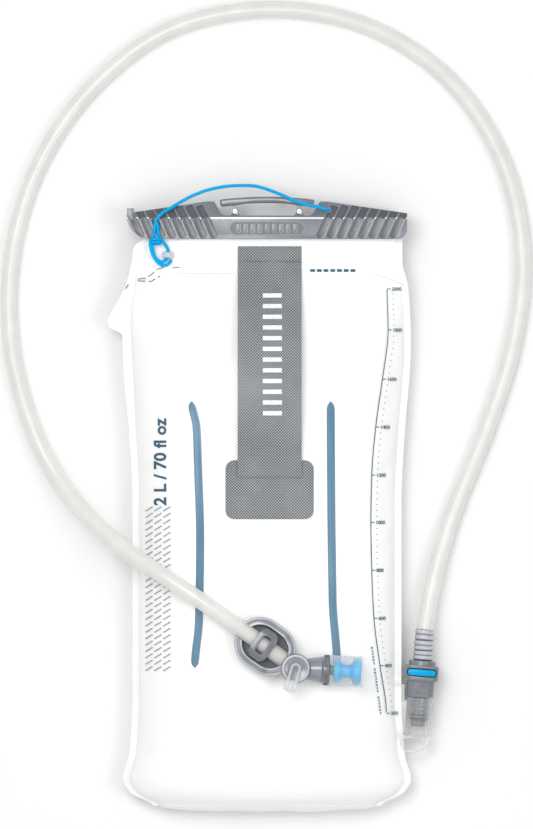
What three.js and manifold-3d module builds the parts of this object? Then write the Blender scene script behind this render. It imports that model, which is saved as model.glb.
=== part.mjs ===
// Hydration bladder: a soft two litre water reservoir lying on its back, with its slide clamp,
// carry strap, quick coupling, drink tube, tube clip and bite valve.
// Millimetres. X runs to the right, Y towards the slide clamp, Z up from the surface it lies on.
// The origin is on the flat of the back film.

import * as THREE from "three";
import { mergeVertices } from "three/addons/utils/BufferGeometryUtils.js";
import Module from "manifold-3d";

const wasm = await Module();
wasm.setup();

// ---- driving dimensions ------------------------------------------------------------------

const GAP = 0.3; // between welded or seated neighbours
const FILM = 0.8; // film thickness
const LAP = GAP / 2 + FILM; // from the seam's middle to the outside of one film
const FLANGE = 4; // width of the side seam

// The bag's edges and heights, each as [Y, value] keys from the base to the mouth.
const MOUTH_Y = 162.5;
const BASE_Y = -174.5;
const BASE_BULGE = 3.2;
const LEFT_EDGE = [
  [BASE_Y, 66], [-167, 79], [-159, 83.5], [-145, 80], [-113, 78], [3, 78], [43, 80], [82, 83],
  [100, 90], [112, 86], [126, 81.5], [141, 78.5], [150, 77], [156, 70], [MOUTH_Y, 70],
];
const RIGHT_EDGE = [
  [BASE_Y, 66], [-167, 79], [-159, 83.5], [-145, 80], [-113, 78], [3, 78], [43, 80], [93, 83.5],
  [126, 82], [141, 78.5], [MOUTH_Y, 78.5],
];
const NECK_Z = 18.2; // middle plane of the mouth, half way up the filled bag
const MOUTH_GAP = 4.6; // between the two films at the mouth
const PORT_Z = 13;
const SEAM = [[BASE_Y, PORT_Z], [80, PORT_Z], [110, 15], [141, NECK_Z], [MOUTH_Y, NECK_Z]];
const NECK_CROWN = NECK_Z + MOUTH_GAP / 2 + FILM;
const CROWN = [
  [BASE_Y, 31], [-160, 37.5], [-135, 40], [30, 40], [75, 37.5], [105, 31], [128, 24],
  [141, NECK_CROWN], [MOUTH_Y, NECK_CROWN],
];
const NECK_FLOOR = NECK_Z - MOUTH_GAP / 2 - FILM;
const FLOOR = [[BASE_Y, 0], [85, 0], [112, 3.5], [141, NECK_FLOOR], [MOUTH_Y, NECK_FLOOR]];
const COLUMNS = 18; // of facets across a film, the outer two of them the seam
const ROWS = 27;

const BAFFLE = { width: 4.6, web: 1, strip: 0.8, y0: -94, y1: 60, left: -40, right: 37.5 };

const RAIL = { x0: -68.5, x1: 77.5, y0: 157.3, y1: 162.3, thick: 2 };

const SLIDER = {
  half: 81.2, y0: 154.2, crease: 166.3, ridge: 176, depth: 7.5, ridgeHalf: 1.8,
  throat: 3.5, cavity: 5.9, lipTop: 156.9, cavityTop: 163.2, closedTo: -74.5,
};
const WING = { inner: 33, outerRidge: 169 }; // where the roof starts, and its height at the ends
const CUTOUT = { y: 167.8, bottom: 26, top: 33.5 };
const GRIP_SLOT = { count: 8, pitch: 6.06, width: 3.5, length: 9, depth: 0.6, first: 31.5, lean: 0.42 };
const LUG = { x: 18.6, pinY: 170.3, pinR: 1.2, earZ: 1.9, earThick: 1.4, base: 3, top: 1.8, height: 4.1 };
const HANGER = { half: 27.7, top: 178.6, sag: 1.7, thick: 3.7, depth: 3, neck: 1.5, tongue: 0.9 };

const CORD_R = 0.95; // tether cord
const TETHER_HOLE = [35.7, 171];
const TETHER = [ // from the hole in the slider to the knot
  [35.7, 171, 21.2], [35.2, 171.2, 23.4], [30.5, 172.8, 24.3], [24.9, 173.4, 24], [17, 176, 23.2],
  [8, 180, 22.6], [-6, 184.8, 19], [-16.2, 185.3, 17.4], [-24, 184.8, 17], [-33.6, 182.9, 17.8],
  [-42.9, 179.5, 19.4], [-50.5, 175.4, 21.6], [-56.8, 171.6, 24.8], [-61.5, 168.6, 26.8],
  [-64.2, 165, 27.1], [-65.2, 160.4, 27.1], [-65.6, 155.2, 27],
];
const TETHER_LOOP = [ // from the knot through the tab on the bag, and back
  [-65.8, 152.2, 26.2], [-64.8, 147.9, 24.6], [-62.4, 143, 23.4], [-59.4, 140.8, 23.3],
  [-57.5, 142.4, 23.4], [-57.4, 145, 23.4], [-57.3, 148.4, 23.8], [-59.2, 151.6, 25], [-62.8, 152.4, 26.2],
];
const TAB = { x: -57.4, y: 145, inner: 1.7, wall: 1.3, legs: 2, depth: 3 };

const STRAP = { x0: -17, x1: 20, y0: 16.5, y1: 150, thick: 1.4, bow: 7.5, lift: 1.7 };
const PATCH = { x0: -24, x1: 27, y0: -8, y1: 26, thick: 0.8, lift: 0.4 };

// The quick coupling, in its own frame: Y along the socket, 0 at the port's rim.
const COUPLING = { x: 88.6, y: -111.9, lean: -0.0807 };
const PORT = { r: 8, bore: 6.55, boreDepth: 17, chamber: 4.5, chamberDepth: 21.4, passageDepth: 19.3, depth: 22.5 };
const PORT_FIN = { x0: 70, x1: 84, y0: -132.4, step: -113.1, x1Above: 79.8, y1: -104, half: 3.4, passage: 1.9 };
const LOOP = { edge: 77.4, low: -143.8, half: 2, holeX0: 78.8, holeX1: 91.8, holeY0: -142.1, holeY1: -135.4 };
const STEM = { r: 4.6, top: 17, grooveY: 5.5, groove: 3.9 };
const CARTRIDGE = { r: 6.1, tip: 4.2, depth: 16.6, bore: 3.6, seat: 2.4, grooves: [-9.9, -12.1] };
const COUPLER = {
  socket: 5, socketDepth: 17.5, waterway: 2, bodyW: 16, bodyD: 15, headW: 19.5, headD: 18,
  headY0: 9.9, headY1: 18.8, collarR: 7.8, collarTop: 21.6, barbR: 2.85, barbTop: 33,
};
const BUTTON = { width: 16.2, height: 3.7, z0: 7.3, z1: 9.5, y: 14.7, floor: 5.5 };

// The drink tube, from the coupler to the shut-off housing.
const TUBE = { od: 9.6, id: 6.4, steps: 78 };
const TUBE_Z = 49.5; // the valve end, clear of the bag and of the clip under it
const ROUTE = [
  [90.39, -89.8, 13], [91.7, -73.4, 12.9], [96.4, -46, 9.6], [106.8, -9, 5.6], [127.9, 45, 5],
  [143.2, 93.7, 4.9], [148.5, 145, 4.9], [137.5, 198, 4.9], [106.7, 246, 4.9], [57.9, 278, 4.9],
  [0, 287.7, 4.9], [-57, 275.7, 4.9], [-102.7, 241, 4.9], [-133, 196, 4.9], [-148, 145, 4.9],
  [-148.5, 92.7, 5.2], [-135.5, 43, 6.4], [-122.3, 17, 10.6], [-104.9, -5.5, 20.4],
  [-85, -23.6, 32.5], [-65, -37.6, 42.2], [-45, -50.6, 48], [-33.8, -58.3, TUBE_Z],
  [-10, -75, TUBE_Z], [10.1, -89.4, TUBE_Z],
];
const CLIP = { x: -1.7, y: -82.4, half: 18.5, halfWidth: 15, rim: 4.6, base: -7.2, floor: -5.2, top: 2.5 };
const CLIP_COVER = { from: 9.5, top: 6.2 };
const BRIDGE = { at: -1.5, along: 12.2, across: 19, top: 7, windowAlong: 4.6, windowAcross: 9.9 };

// The valve, in its own frame: X along the mouthpiece, Z along the shut-off barrel.
const VALVE = { x: 16.6, y: -94.1, lean: -0.0565 };
const HOUSING = { r: 7.4, z0: -8, z1: 6.3, socket: 4.6, socketZ: -5, flow: 2.4 };
const CONE = { x0: 5, x1: 15.4, r0: 5.8, r1: 7.7 };
const VALVE_COLLAR = { x0: 15.7, x1: 19.6, r: 8.9, spigot: 2.9, spigotEnd: 30 };
const BARREL = { r: 4.3, z0: -4.7, capR: 8.5, capZ: 6.6, capTop: 9.2 };
const LEVER = { z0: 9.5, z1: 11.2, width: 7, reach: 14.4, bar: 2.2, turn: -0.223 };
const BITE = { base: 22, neck: 25.4, lip: 33.3, end: 38, baseR: 7.2, neckR: 4.4, lipR: 8, bore: 3.2 };
const COVER = { x0: 20, x1: 38.3, end: 39.2, inner: 8.4, outer: 9.3 };

// ---- finishes ----------------------------------------------------------------------------

const plain = (color, roughness) => new THREE.MeshStandardMaterial({ color, roughness, metalness: 0 });
const clear = (color, opacity) =>
  new THREE.MeshStandardMaterial({ color, roughness: 0.2, metalness: 0, opacity, transparent: true });

// ---- solids ------------------------------------------------------------------------------

// A closed geometry as a solid that can be joined and cut.
function solid(geometry) {
  const bare = geometry.clone();
  bare.deleteAttribute("normal");
  bare.deleteAttribute("uv");
  const merged = mergeVertices(bare, 1e-4);
  const mesh = new wasm.Mesh({
    numProp: 3,
    vertProperties: merged.attributes.position.array,
    triVerts: new Uint32Array(merged.index.array),
  });
  return new wasm.Manifold(mesh);
}

// A solid as a geometry again.
function geometryOf(made) {
  const mesh = made.getMesh();
  const geometry = new THREE.BufferGeometry();
  geometry.setAttribute("position", new THREE.BufferAttribute(mesh.vertProperties, 3));
  geometry.setIndex(new THREE.BufferAttribute(mesh.triVerts, 1));
  geometry.computeVertexNormals();
  return geometry;
}

// One geometry with others joined to it.
function joined(first, ...others) {
  return geometryOf(others.reduce((whole, g) => whole.add(solid(g)), solid(first)));
}

// One geometry with others cut out of it.
function cut(first, ...others) {
  return geometryOf(others.reduce((whole, g) => whole.subtract(solid(g)), solid(first)));
}

// A block between two corners.
function block([x0, y0, z0], [x1, y1, z1]) {
  const geometry = new THREE.BoxGeometry(x1 - x0, y1 - y0, z1 - z0);
  return geometry.translate((x0 + x1) / 2, (y0 + y1) / 2, (z0 + z1) / 2);
}

// A rod between two values along an axis, "x", "y" or "z", through a point of the other two.
function rod(axis, from, to, r0, r1 = r0, [a, b] = [0, 0], sides = 20) {
  const geometry = new THREE.CylinderGeometry(r1, r0, to - from, sides);
  geometry.translate(0, (from + to) / 2, 0);
  if (axis === "x") return geometry.rotateZ(-Math.PI / 2).translate(0, a, b);
  if (axis === "z") return geometry.rotateX(Math.PI / 2).translate(a, b, 0);
  return geometry.translate(a, 0, b);
}

// A ring of round section about the Y axis.
function ring(radius, thick, y) {
  return new THREE.TorusGeometry(radius, thick, 6, 18).rotateX(Math.PI / 2).translate(0, y, 0);
}

// A turned piece about the Y axis, from [radius, height] points.
function turned(points, sides = 18) {
  return new THREE.LatheGeometry(points.map(([r, y]) => new THREE.Vector2(r, y)), sides);
}

// A flat outline of [x, y] points, extruded between two heights.
function slab(points, z0, z1) {
  const shape = new THREE.Shape(points.map(([x, y]) => new THREE.Vector2(x, y)));
  const options = { depth: z1 - z0, bevelEnabled: false };
  return new THREE.ExtrudeGeometry(shape, options).translate(0, 0, z0);
}

// The corners of a rectangle with round corners, about the origin.
function roundedRectangle(width, height, radius, steps = 4) {
  const points = [];
  for (let corner = 0; corner < 4; corner++) {
    const sx = corner === 0 || corner === 3 ? 1 : -1;
    const sy = corner < 2 ? 1 : -1;
    for (let i = 0; i <= steps; i++) {
      const angle = ((corner + i / steps) * Math.PI) / 2;
      const x = sx * (width / 2 - radius) + radius * Math.cos(angle);
      points.push([x, sy * (height / 2 - radius) + radius * Math.sin(angle)]);
    }
  }
  return points;
}

// A section swept along a route, with an optional bore.
function swept(route, radius, sides, steps, bore = 0) {
  const section = new THREE.Shape().absarc(0, 0, radius, 0, 2 * Math.PI);
  if (bore) section.holes.push(new THREE.Path().absarc(0, 0, bore, 0, 2 * Math.PI, true));
  const path = new THREE.CatmullRomCurve3(route.map((p) => new THREE.Vector3(...p)), false, "centripetal");
  return new THREE.ExtrudeGeometry(section, { steps, curveSegments: sides / 2, extrudePath: path });
}

// A coil spring about the Y axis.
function coil(radius, wire, y0, y1, turns) {
  const points = [];
  for (let i = 0; i <= turns * 8; i++) {
    const angle = (i / 8) * 2 * Math.PI;
    const y = y0 + ((y1 - y0) * i) / (turns * 8);
    points.push([radius * Math.cos(angle), y, radius * Math.sin(angle)]);
  }
  return swept(points, wire, 6, turns * 8);
}

// ---- the bag's surfaces ------------------------------------------------------------------

// A smooth curve through [at, value] keys that never passes a key's value on its way.
function through(keys, at) {
  const last = keys.length - 1;
  const y = Math.min(Math.max(at, keys[0][0]), keys[last][0]);
  const i = Math.min(keys.findIndex((key, n) => n === last || y <= keys[n + 1][0]), last - 1);
  const secant = (n) => (keys[n + 1][1] - keys[n][1]) / (keys[n + 1][0] - keys[n][0]);
  const slope = (n) => {
    if (n === 0 || n === last) return 0;
    const before = secant(n - 1);
    const after = secant(n);
    return before * after <= 0 ? 0 : (2 * before * after) / (before + after);
  };
  const span = keys[i + 1][0] - keys[i][0];
  const t = (y - keys[i][0]) / span;
  const rise = t * t * (3 - 2 * t);
  const start = t * (1 - t) * (1 - t) * slope(i);
  const end = t * t * (t - 1) * slope(i + 1);
  return keys[i][1] * (1 - rise) + keys[i + 1][1] * rise + span * (start + end);
}

const dome = (a) => Math.sqrt(Math.max(0, 1 - Math.abs(a) ** 3));
const belly = (a) => Math.min(1, 1.3 * Math.max(0, 1 - Math.abs(a) ** 4) ** 0.6);
const edgeAt = (x, y) => through(x < 0 ? LEFT_EDGE : RIGHT_EDGE, y);

// The front film's outer or inner height over a point of the bag.
function frontZ(x, y, inside = 0) {
  const a = x / (edgeAt(x, y) - FLANGE - inside);
  const low = through(SEAM, y) + LAP - inside;
  return low + (through(CROWN, y) - inside - low) * dome(Math.min(1, Math.abs(a)));
}

// A point of a film: s from -1 to 1 across, the outer seam columns flat, and its upper or lower face.
function filmPoint(s, y, upper, front) {
  const edge = edgeAt(s, y);
  const lap = 1 - 2 / COLUMNS;
  const inside = upper === front ? 0 : FILM;
  const seam = through(SEAM, y) + (front ? 1 : -1) * (LAP - inside);
  const reach = edge - FLANGE - inside;
  if (Math.abs(s) > lap + 1e-6) return [Math.sign(s) * edge, y, seam];
  const a = Math.sin((Math.PI / 2) * (s / lap));
  const far = front ? through(CROWN, y) - inside : through(FLOOR, y) + inside;
  return [a * reach, y, seam + (far - seam) * (front ? dome(a) : belly(a))];
}

// A thin sheet: a box of facets whose every corner is put in place by a function.
function sheet(columns, rows, place) {
  const geometry = new THREE.BoxGeometry(2, 2, 2, columns, rows, 1);
  const corners = geometry.getAttribute("position");
  for (let i = 0; i < corners.count; i++) {
    const t = (corners.getY(i) + 1) / 2;
    corners.setXYZ(i, ...place(corners.getX(i), t, corners.getZ(i) > 0));
  }
  return geometry;
}

const mix = (a, b, t) => a + (b - a) * t;

// The front or the back film, from the base to the mouth.
function panel(front) {
  return sheet(COLUMNS, ROWS, (s, t, upper) => filmPoint(s, mix(BASE_Y, MOUTH_Y, t), upper, front));
}

// The film that closes the base, bulging a little past the two panels' ends.
function baseSheet() {
  return sheet(COLUMNS, 4, (s, t, outer) => {
    const low = filmPoint(s, BASE_Y, false, false);
    const high = filmPoint(s, BASE_Y, true, true);
    const bulge = BASE_BULGE * Math.sin(Math.PI * t) * (1 - s * s);
    const y = BASE_Y - GAP - bulge - (outer ? FILM : 0);
    return [mix(low[0], high[0], t), y, mix(low[2], high[2], t)];
  });
}

// A strip that lies on the front film.
function laid({ x0, x1, y0, y1, thick }, columns, rows, lift) {
  return sheet(columns, rows, (s, t, upper) => {
    const x = mix(x0, x1, (s + 1) / 2);
    const y = mix(y0, y1, t);
    return [x, y, frontZ(x, y) + lift(t) + (upper ? thick : 0)];
  });
}

// ---- the bag -----------------------------------------------------------------------------

// A wall between the front and the back film, with a weld strip along each.
function baffle(x) {
  const clearance = GAP + 0.2;
  const under = (y) => frontZ(x, y, FILM) - clearance;
  const strip = (low) => (s, t, upper) => {
    const y = mix(BAFFLE.y0, BAFFLE.y1, t);
    const z = low ? FILM + GAP : frontZ(x + s * (BAFFLE.width / 2), y, FILM) - clearance - BAFFLE.strip;
    return [x + s * (BAFFLE.width / 2), y, z + (upper ? BAFFLE.strip : 0)];
  };
  const web = sheet(1, 10, (s, t, upper) => {
    const y = mix(BAFFLE.y0 + 1, BAFFLE.y1 - 1, t);
    return [x + s * (BAFFLE.web / 2), y, upper ? under(y) - BAFFLE.strip / 2 : FILM + GAP + BAFFLE.strip / 2];
  });
  return joined(web, sheet(2, 10, strip(false)), sheet(2, 1, strip(true)));
}

// The stiff strip along one lip of the mouth, held in the slider's channel.
function mouthRail(side) {
  const inner = side * (MOUTH_GAP / 2 + FILM + GAP);
  const outer = inner + side * RAIL.thick;
  const z = [Math.min(inner, outer), Math.max(inner, outer)];
  return block([RAIL.x0, RAIL.y0, NECK_Z + z[0]], [RAIL.x1, RAIL.y1, NECK_Z + z[1]]);
}

// A small arch on the neck that the tether's loop passes under.
function tetherTab() {
  const outer = TAB.inner + TAB.wall;
  const points = [[-outer, 0]];
  for (let i = 0; i <= 6; i++) {
    const angle = Math.PI * (1 - i / 6);
    points.push([outer * Math.cos(angle), TAB.legs + outer * Math.sin(angle)]);
  }
  points.push([outer, 0], [TAB.inner, 0]);
  for (let i = 0; i <= 6; i++) {
    const angle = (Math.PI * i) / 6;
    points.push([TAB.inner * Math.cos(angle), TAB.legs + TAB.inner * Math.sin(angle)]);
  }
  points.push([-TAB.inner, 0]);
  const arch = slab(points, -TAB.depth / 2, TAB.depth / 2).rotateX(Math.PI / 2);
  return arch.translate(TAB.x, TAB.y, NECK_CROWN + GAP);
}

// ---- the slide clamp, about the mouth's middle plane -------------------------------------

// A section of [z, y] points run along X.
function along(points, x0, x1) {
  const run = slab(points, x0, x1);
  return run.rotateY(Math.PI / 2);
}

function sliderBody() {
  const s = SLIDER;
  const bar = along(
    [[-s.depth, s.y0], [s.depth, s.y0], [s.depth, s.crease], [s.ridgeHalf, s.ridge],
      [-s.ridgeHalf, s.ridge], [-s.depth, s.crease]],
    -s.half, s.half,
  );
  const channel = along(
    [[-s.throat, s.y0 - 1], [s.throat, s.y0 - 1], [s.throat, s.lipTop], [s.cavity, s.lipTop],
      [s.cavity, s.cavityTop], [-s.cavity, s.cavityTop], [-s.cavity, s.lipTop], [-s.throat, s.lipTop]],
    s.closedTo, s.half + 1,
  );
  const above = s.ridge + 5;
  const cutouts = [channel];
  cutouts.push(slab([[-CUTOUT.bottom, CUTOUT.y], [CUTOUT.bottom, CUTOUT.y], [CUTOUT.top, above],
    [-CUTOUT.top, above]], -9, 9));
  for (const side of [-1, 1]) {
    const wing = [[side * WING.inner, s.ridge + 0.01], [side * (s.half + 1), WING.outerRidge],
      [side * (s.half + 1), above], [side * WING.inner, above]];
    cutouts.push(slab(side > 0 ? wing : wing.reverse(), -9, 9));
    for (let i = 0; i < GRIP_SLOT.count; i++) {
      const slot = block([-GRIP_SLOT.width / 2, -GRIP_SLOT.length / 2, s.depth - GRIP_SLOT.depth],
        [GRIP_SLOT.width / 2, GRIP_SLOT.length / 2, s.depth + 1]);
      slot.rotateZ(-side * GRIP_SLOT.lean);
      const x = side * (GRIP_SLOT.first + i * GRIP_SLOT.pitch);
      cutouts.push(slot.translate(x, (s.y0 + s.crease) / 2, 0));
    }
  }
  cutouts.push(cornerCut(-s.half, 14), cornerCut(s.half, 6));
  cutouts.push(rod("z", -9, 9, 1.4, 1.4, TETHER_HOLE, 12));
  const hook = block([-s.half, s.crease - 1, -s.depth + 1], [-s.half + 4, 172, s.depth - 1]);
  return joined(cut(bar, ...cutouts), hook, ...lugs());
}

// What a round lower corner takes off the slider's end.
function cornerCut(x, radius) {
  const inward = -Math.sign(x);
  const points = [[x - inward, SLIDER.y0 - 1], [x + inward * radius, SLIDER.y0 - 1]];
  for (let i = 0; i <= 6; i++) {
    const angle = (Math.PI / 2) * (i / 6);
    const px = x + inward * radius * (1 - Math.sin(angle));
    points.push([px, SLIDER.y0 + radius * (1 - Math.cos(angle))]);
  }
  points.push([x - inward, SLIDER.y0 + radius]);
  return slab(x > 0 ? points.reverse() : points, -9, 9);
}

// The ears that hold the hanger's tongues, two on each side.
function lugs() {
  const ears = [];
  for (const x of [-LUG.x, LUG.x]) {
    for (const z of [-LUG.earZ, LUG.earZ]) {
      const y = CUTOUT.y - 0.5;
      const ear = slab([[x - LUG.base, y], [x + LUG.base, y], [x + LUG.top, y + LUG.height],
        [x - LUG.top, y + LUG.height]], z - LUG.earThick / 2, z + LUG.earThick / 2);
      ears.push(cut(ear, rod("z", -5, 5, LUG.pinR + GAP, LUG.pinR + GAP, [x, LUG.pinY], 12)));
    }
  }
  return ears;
}

// The bar that the bladder hangs by: an arch with two tongues down to the pins.
function hangerBar() {
  const points = [];
  const arch = (x) => HANGER.top - HANGER.sag * (x / HANGER.half) ** 2;
  for (let i = 0; i <= 10; i++) {
    const x = HANGER.half * (i / 5 - 1);
    points.push([x, arch(x)]);
  }
  for (let i = 10; i >= 0; i--) {
    const x = HANGER.half * (i / 5 - 1) * 0.96;
    points.push([x, arch(x) - HANGER.thick]);
  }
  let bar = slab(points.reverse(), -HANGER.depth, HANGER.depth);
  for (const x of [-LUG.x, LUG.x]) {
    const tongue = block([x - HANGER.neck, LUG.pinY - 1.9, -HANGER.tongue],
      [x + HANGER.neck, arch(x) - HANGER.thick + 0.6, HANGER.tongue]);
    bar = cut(joined(bar, tongue), rod("z", -5, 5, LUG.pinR + GAP / 2, LUG.pinR + GAP / 2, [x, LUG.pinY], 12));
  }
  return bar;
}

const hangerPin = (x) => rod("z", -3.2, 3.2, LUG.pinR, LUG.pinR, [x, LUG.pinY], 12);

// ---- the quick coupling, in its own frame ------------------------------------------------

// The clear port: a socket, a fin between the films and a finger loop. Its fin and loop are square
// to the bag, so they are turned back by the socket's lean.
function outletPort() {
  const level = (geometry) =>
    geometry.translate(-COUPLING.x, -COUPLING.y, 0).rotateZ(-COUPLING.lean);
  const f = PORT_FIN;
  const fin = level(block([f.x0, f.y0, -f.half], [f.x1, f.step, f.half]));
  const tongue = level(block([f.x0 + 0.6, f.step - 1, 0.6 - f.half], [f.x1Above, f.y1, f.half - 0.6]));
  const loop = level(slab([[LOOP.edge, -132], [LOOP.edge, -140.6], [80.6, LOOP.low], [87, LOOP.low], [92.5, -141],
    [95.4, -136], [96, -130], [90, -126]], -LOOP.half, LOOP.half));
  const w = (LOOP.holeX1 - LOOP.holeX0) / 2;
  const h = (LOOP.holeY1 - LOOP.holeY0) / 2;
  const centre = [LOOP.holeX0 + w, LOOP.holeY0 + h];
  const hole = level(slab(roundedRectangle(2 * w, 2 * h, 2.6, 3), -9, 9).translate(...centre, 0));
  const socket = joined(rod("y", -PORT.depth, 0, PORT.r), fin, tongue, loop);
  const passage = rod("x", f.x0 - COUPLING.x - 4, 0, f.passage, f.passage, [-PORT.passageDepth, 0], 12);
  return cut(socket, rod("y", -PORT.boreDepth, 1, PORT.bore),
    rod("y", -PORT.chamberDepth, -PORT.boreDepth + 1, PORT.chamber), passage, hole);
}

// The valve cartridge in the port, whose stem plugs into the coupler.
function cartridge() {
  const c = CARTRIDGE;
  const shaft = [[c.bore, 1.5], [c.bore, -c.depth + 0.8], [2.2, -c.depth + 0.8], [2.2, -c.depth],
    [c.tip, -c.depth], [c.tip + 0.4, -13.4]];
  for (const y of [...c.grooves].reverse()) {
    shaft.push([c.r, y - 0.8], [c.r - 1.15, y - 0.8], [c.r - 1.15, y + 0.8], [c.r, y + 0.8]);
  }
  shaft.push([c.r, -0.4], [STEM.r, -0.4], [STEM.r, STEM.grooveY - 0.7], [STEM.groove, STEM.grooveY - 0.7],
    [STEM.groove, STEM.grooveY + 0.7], [STEM.r, STEM.grooveY + 0.7], [STEM.r, 13], [STEM.r - 0.8, 13.2],
    [STEM.r - 0.8, 15.8], [STEM.r, 16], [STEM.r - 0.5, STEM.top], [c.seat, STEM.top], [c.seat, 3]);
  shaft.push(shaft[0]);
  return turned(shaft, 14);
}

const poppet = () => turned([[0, -9.4], [3.2, -9.4], [3.2, -7.6], [1.1, -7.2], [1.1, 6.6], [0, 7]], 12);

// The coupler: a socket over the stem, a head with the button's pocket, and a barb for the tube.
function couplerBody() {
  const c = COUPLER;
  const upright = (geometry) => geometry.rotateX(-Math.PI / 2);
  const body = upright(slab(roundedRectangle(c.bodyW, c.bodyD, 5), GAP, c.headY0 + 1));
  const head = upright(slab(roundedRectangle(c.headW, c.headD, 5), c.headY0, c.headY1));
  const collar = rod("y", c.headY1 - 1, c.collarTop, c.collarR);
  const barb = rod("y", c.collarTop - 1, c.barbTop, c.barbR, c.barbR, [0, 0], 14);
  const pocket = slab(roundedRectangle(BUTTON.width + 2 * GAP, BUTTON.height + 2 * GAP, 1.8, 3),
    BUTTON.floor, 12).translate(0, BUTTON.y, 0);
  const springWell = rod("z", -0.2, BUTTON.floor + 1, 1.5, 1.5, [7, BUTTON.y], 12);
  return cut(joined(body, head, collar, barb), rod("y", -1, c.socketDepth, c.socket),
    rod("y", c.socketDepth - 1, c.barbTop + 1, c.waterway, c.waterway, [0, 0], 12), pocket, springWell);
}

const releaseButton = () =>
  slab(roundedRectangle(BUTTON.width, BUTTON.height, 1.6, 3), BUTTON.z0, BUTTON.z1)
    .translate(0, BUTTON.y, 0);
const buttonSpring = () =>
  coil(0.9, 0.22, 0.3, BUTTON.z0 - 0.55, 4).rotateX(Math.PI / 2).translate(7, BUTTON.y, 0);

// ---- the tube clip, its X along the tube -------------------------------------------------

// The outline of a stadium, long along X.
function stadium(half, halfWidth, steps = 8) {
  const points = [];
  for (const side of [1, -1]) {
    for (let i = 0; i <= steps; i++) {
      const angle = side * (Math.PI / 2) * ((2 * i) / steps - 1) + (side < 0 ? Math.PI : 0);
      const turn = side > 0 ? angle : Math.PI + (Math.PI / 2) * ((2 * i) / steps - 1);
      const x = side * (half - halfWidth) + halfWidth * Math.cos(turn);
      points.push([x, halfWidth * Math.sin(turn)]);
    }
  }
  return points;
}

// A dish with a raised rim, a bridge over the tube, and a covered far end.
function tubeClip() {
  const c = CLIP;
  const b = BRIDGE;
  const channel = rod("x", -30, 30, TUBE.od / 2 + GAP, TUBE.od / 2 + GAP);
  const rimAt = (z0, z1) => cut(slab(stadium(c.half, c.halfWidth), z0, z1),
    slab(stadium(c.half - c.rim, c.halfWidth - c.rim), z0 - 1, z1 + 1));
  const cover = cut(rimAt(c.base, CLIP_COVER.top), block([-40, -20, -20], [CLIP_COVER.from, 20, 20]));
  const floor = slab(stadium(c.half - 1, c.halfWidth - 1), c.base, c.floor);
  const bridge = slab(roundedRectangle(b.across, 2 * b.top, 5), -b.along / 2, b.along / 2)
    .rotateX(Math.PI / 2).rotateZ(Math.PI / 2).translate(b.at, 0, 0);
  const arch = cut(bridge, block([-20, -20, -20], [20, 20, c.floor - 0.4]));
  const window = slab(roundedRectangle(b.windowAlong, b.windowAcross, 2, 3), 0, 20).translate(b.at, 0, 0);
  const housing = rod("z", -20, 20, HOUSING.r + 0.6, HOUSING.r + 0.6, clipToValve());
  return cut(joined(floor, rimAt(c.base, c.top), cover, arch), channel, window, housing);
}

const TUBE_END = ROUTE[ROUTE.length - 1];
const BEFORE_END = ROUTE[ROUTE.length - 3];
const TUBE_TURN = Math.atan2(TUBE_END[1] - BEFORE_END[1], TUBE_END[0] - BEFORE_END[0]);

// The clip's middle, moved onto the tube's line.
function clipPlace() {
  const dx = CLIP.x - TUBE_END[0];
  const dy = CLIP.y - TUBE_END[1];
  const back = dx * Math.cos(TUBE_TURN) + dy * Math.sin(TUBE_TURN);
  return [TUBE_END[0] + back * Math.cos(TUBE_TURN), TUBE_END[1] + back * Math.sin(TUBE_TURN), TUBE_Z];
}

// Where the shut-off housing's axis stands, seen from the clip.
function clipToValve() {
  const [x, y] = clipPlace();
  const dx = VALVE.x - x;
  const dy = VALVE.y - y;
  const c = Math.cos(TUBE_TURN);
  const s = Math.sin(TUBE_TURN);
  return [dx * c + dy * s, dy * c - dx * s];
}

// ---- the shut-off and bite valve, in their own frame -------------------------------------

// A turned piece about the X axis, from [x, radius] points.
const turnedX = (points, sides = 20) =>
  turned(points.map(([x, r]) => [r, x]), sides).rotateZ(-Math.PI / 2);

// The housing: a socket for the barrel, a cone to the mouthpiece and a barb for the tube.
function valveHousing() {
  const h = HOUSING;
  const toTube = Math.atan2(TUBE_END[1] - VALVE.y, TUBE_END[0] - VALVE.x) - VALVE.lean;
  const barb = rod("x", 0, 20, COUPLER.barbR, COUPLER.barbR, [0, 0], 14).rotateZ(toTube);
  const inlet = rod("x", 0, 21, COUPLER.waterway, COUPLER.waterway, [0, 0], 12).rotateZ(toTube);
  const shell = joined(rod("z", h.z0, h.z1, h.r), rod("x", CONE.x0, CONE.x1, CONE.r0, CONE.r1), barb);
  return cut(shell, rod("z", h.socketZ, h.z1 + 1, h.socket), inlet,
    rod("x", 0, CONE.x1 + 1, h.flow, h.flow, [0, 0], 12));
}

// The collar that carries the mouthpiece on a spigot.
const valveCollar = () => turnedX([[VALVE_COLLAR.x0, HOUSING.flow], [VALVE_COLLAR.x0, VALVE_COLLAR.r],
  [VALVE_COLLAR.x1, VALVE_COLLAR.r], [VALVE_COLLAR.x1, VALVE_COLLAR.spigot],
  [VALVE_COLLAR.spigotEnd, VALVE_COLLAR.spigot], [VALVE_COLLAR.spigotEnd, 1.6],
  [VALVE_COLLAR.x0 + 1, 1.6], [VALVE_COLLAR.x0, HOUSING.flow]]);

// The barrel that shuts the flow, with its round cap.
function shutoffBarrel() {
  const shaft = rod("z", BARREL.z0, BARREL.capZ + 1, BARREL.r);
  const cap = rod("z", BARREL.capZ, BARREL.capTop, BARREL.capR, BARREL.capR - 0.8);
  return cut(joined(shaft, cap), rod("x", -9, 9, HOUSING.flow, HOUSING.flow, [0, 0], 12));
}

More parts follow.
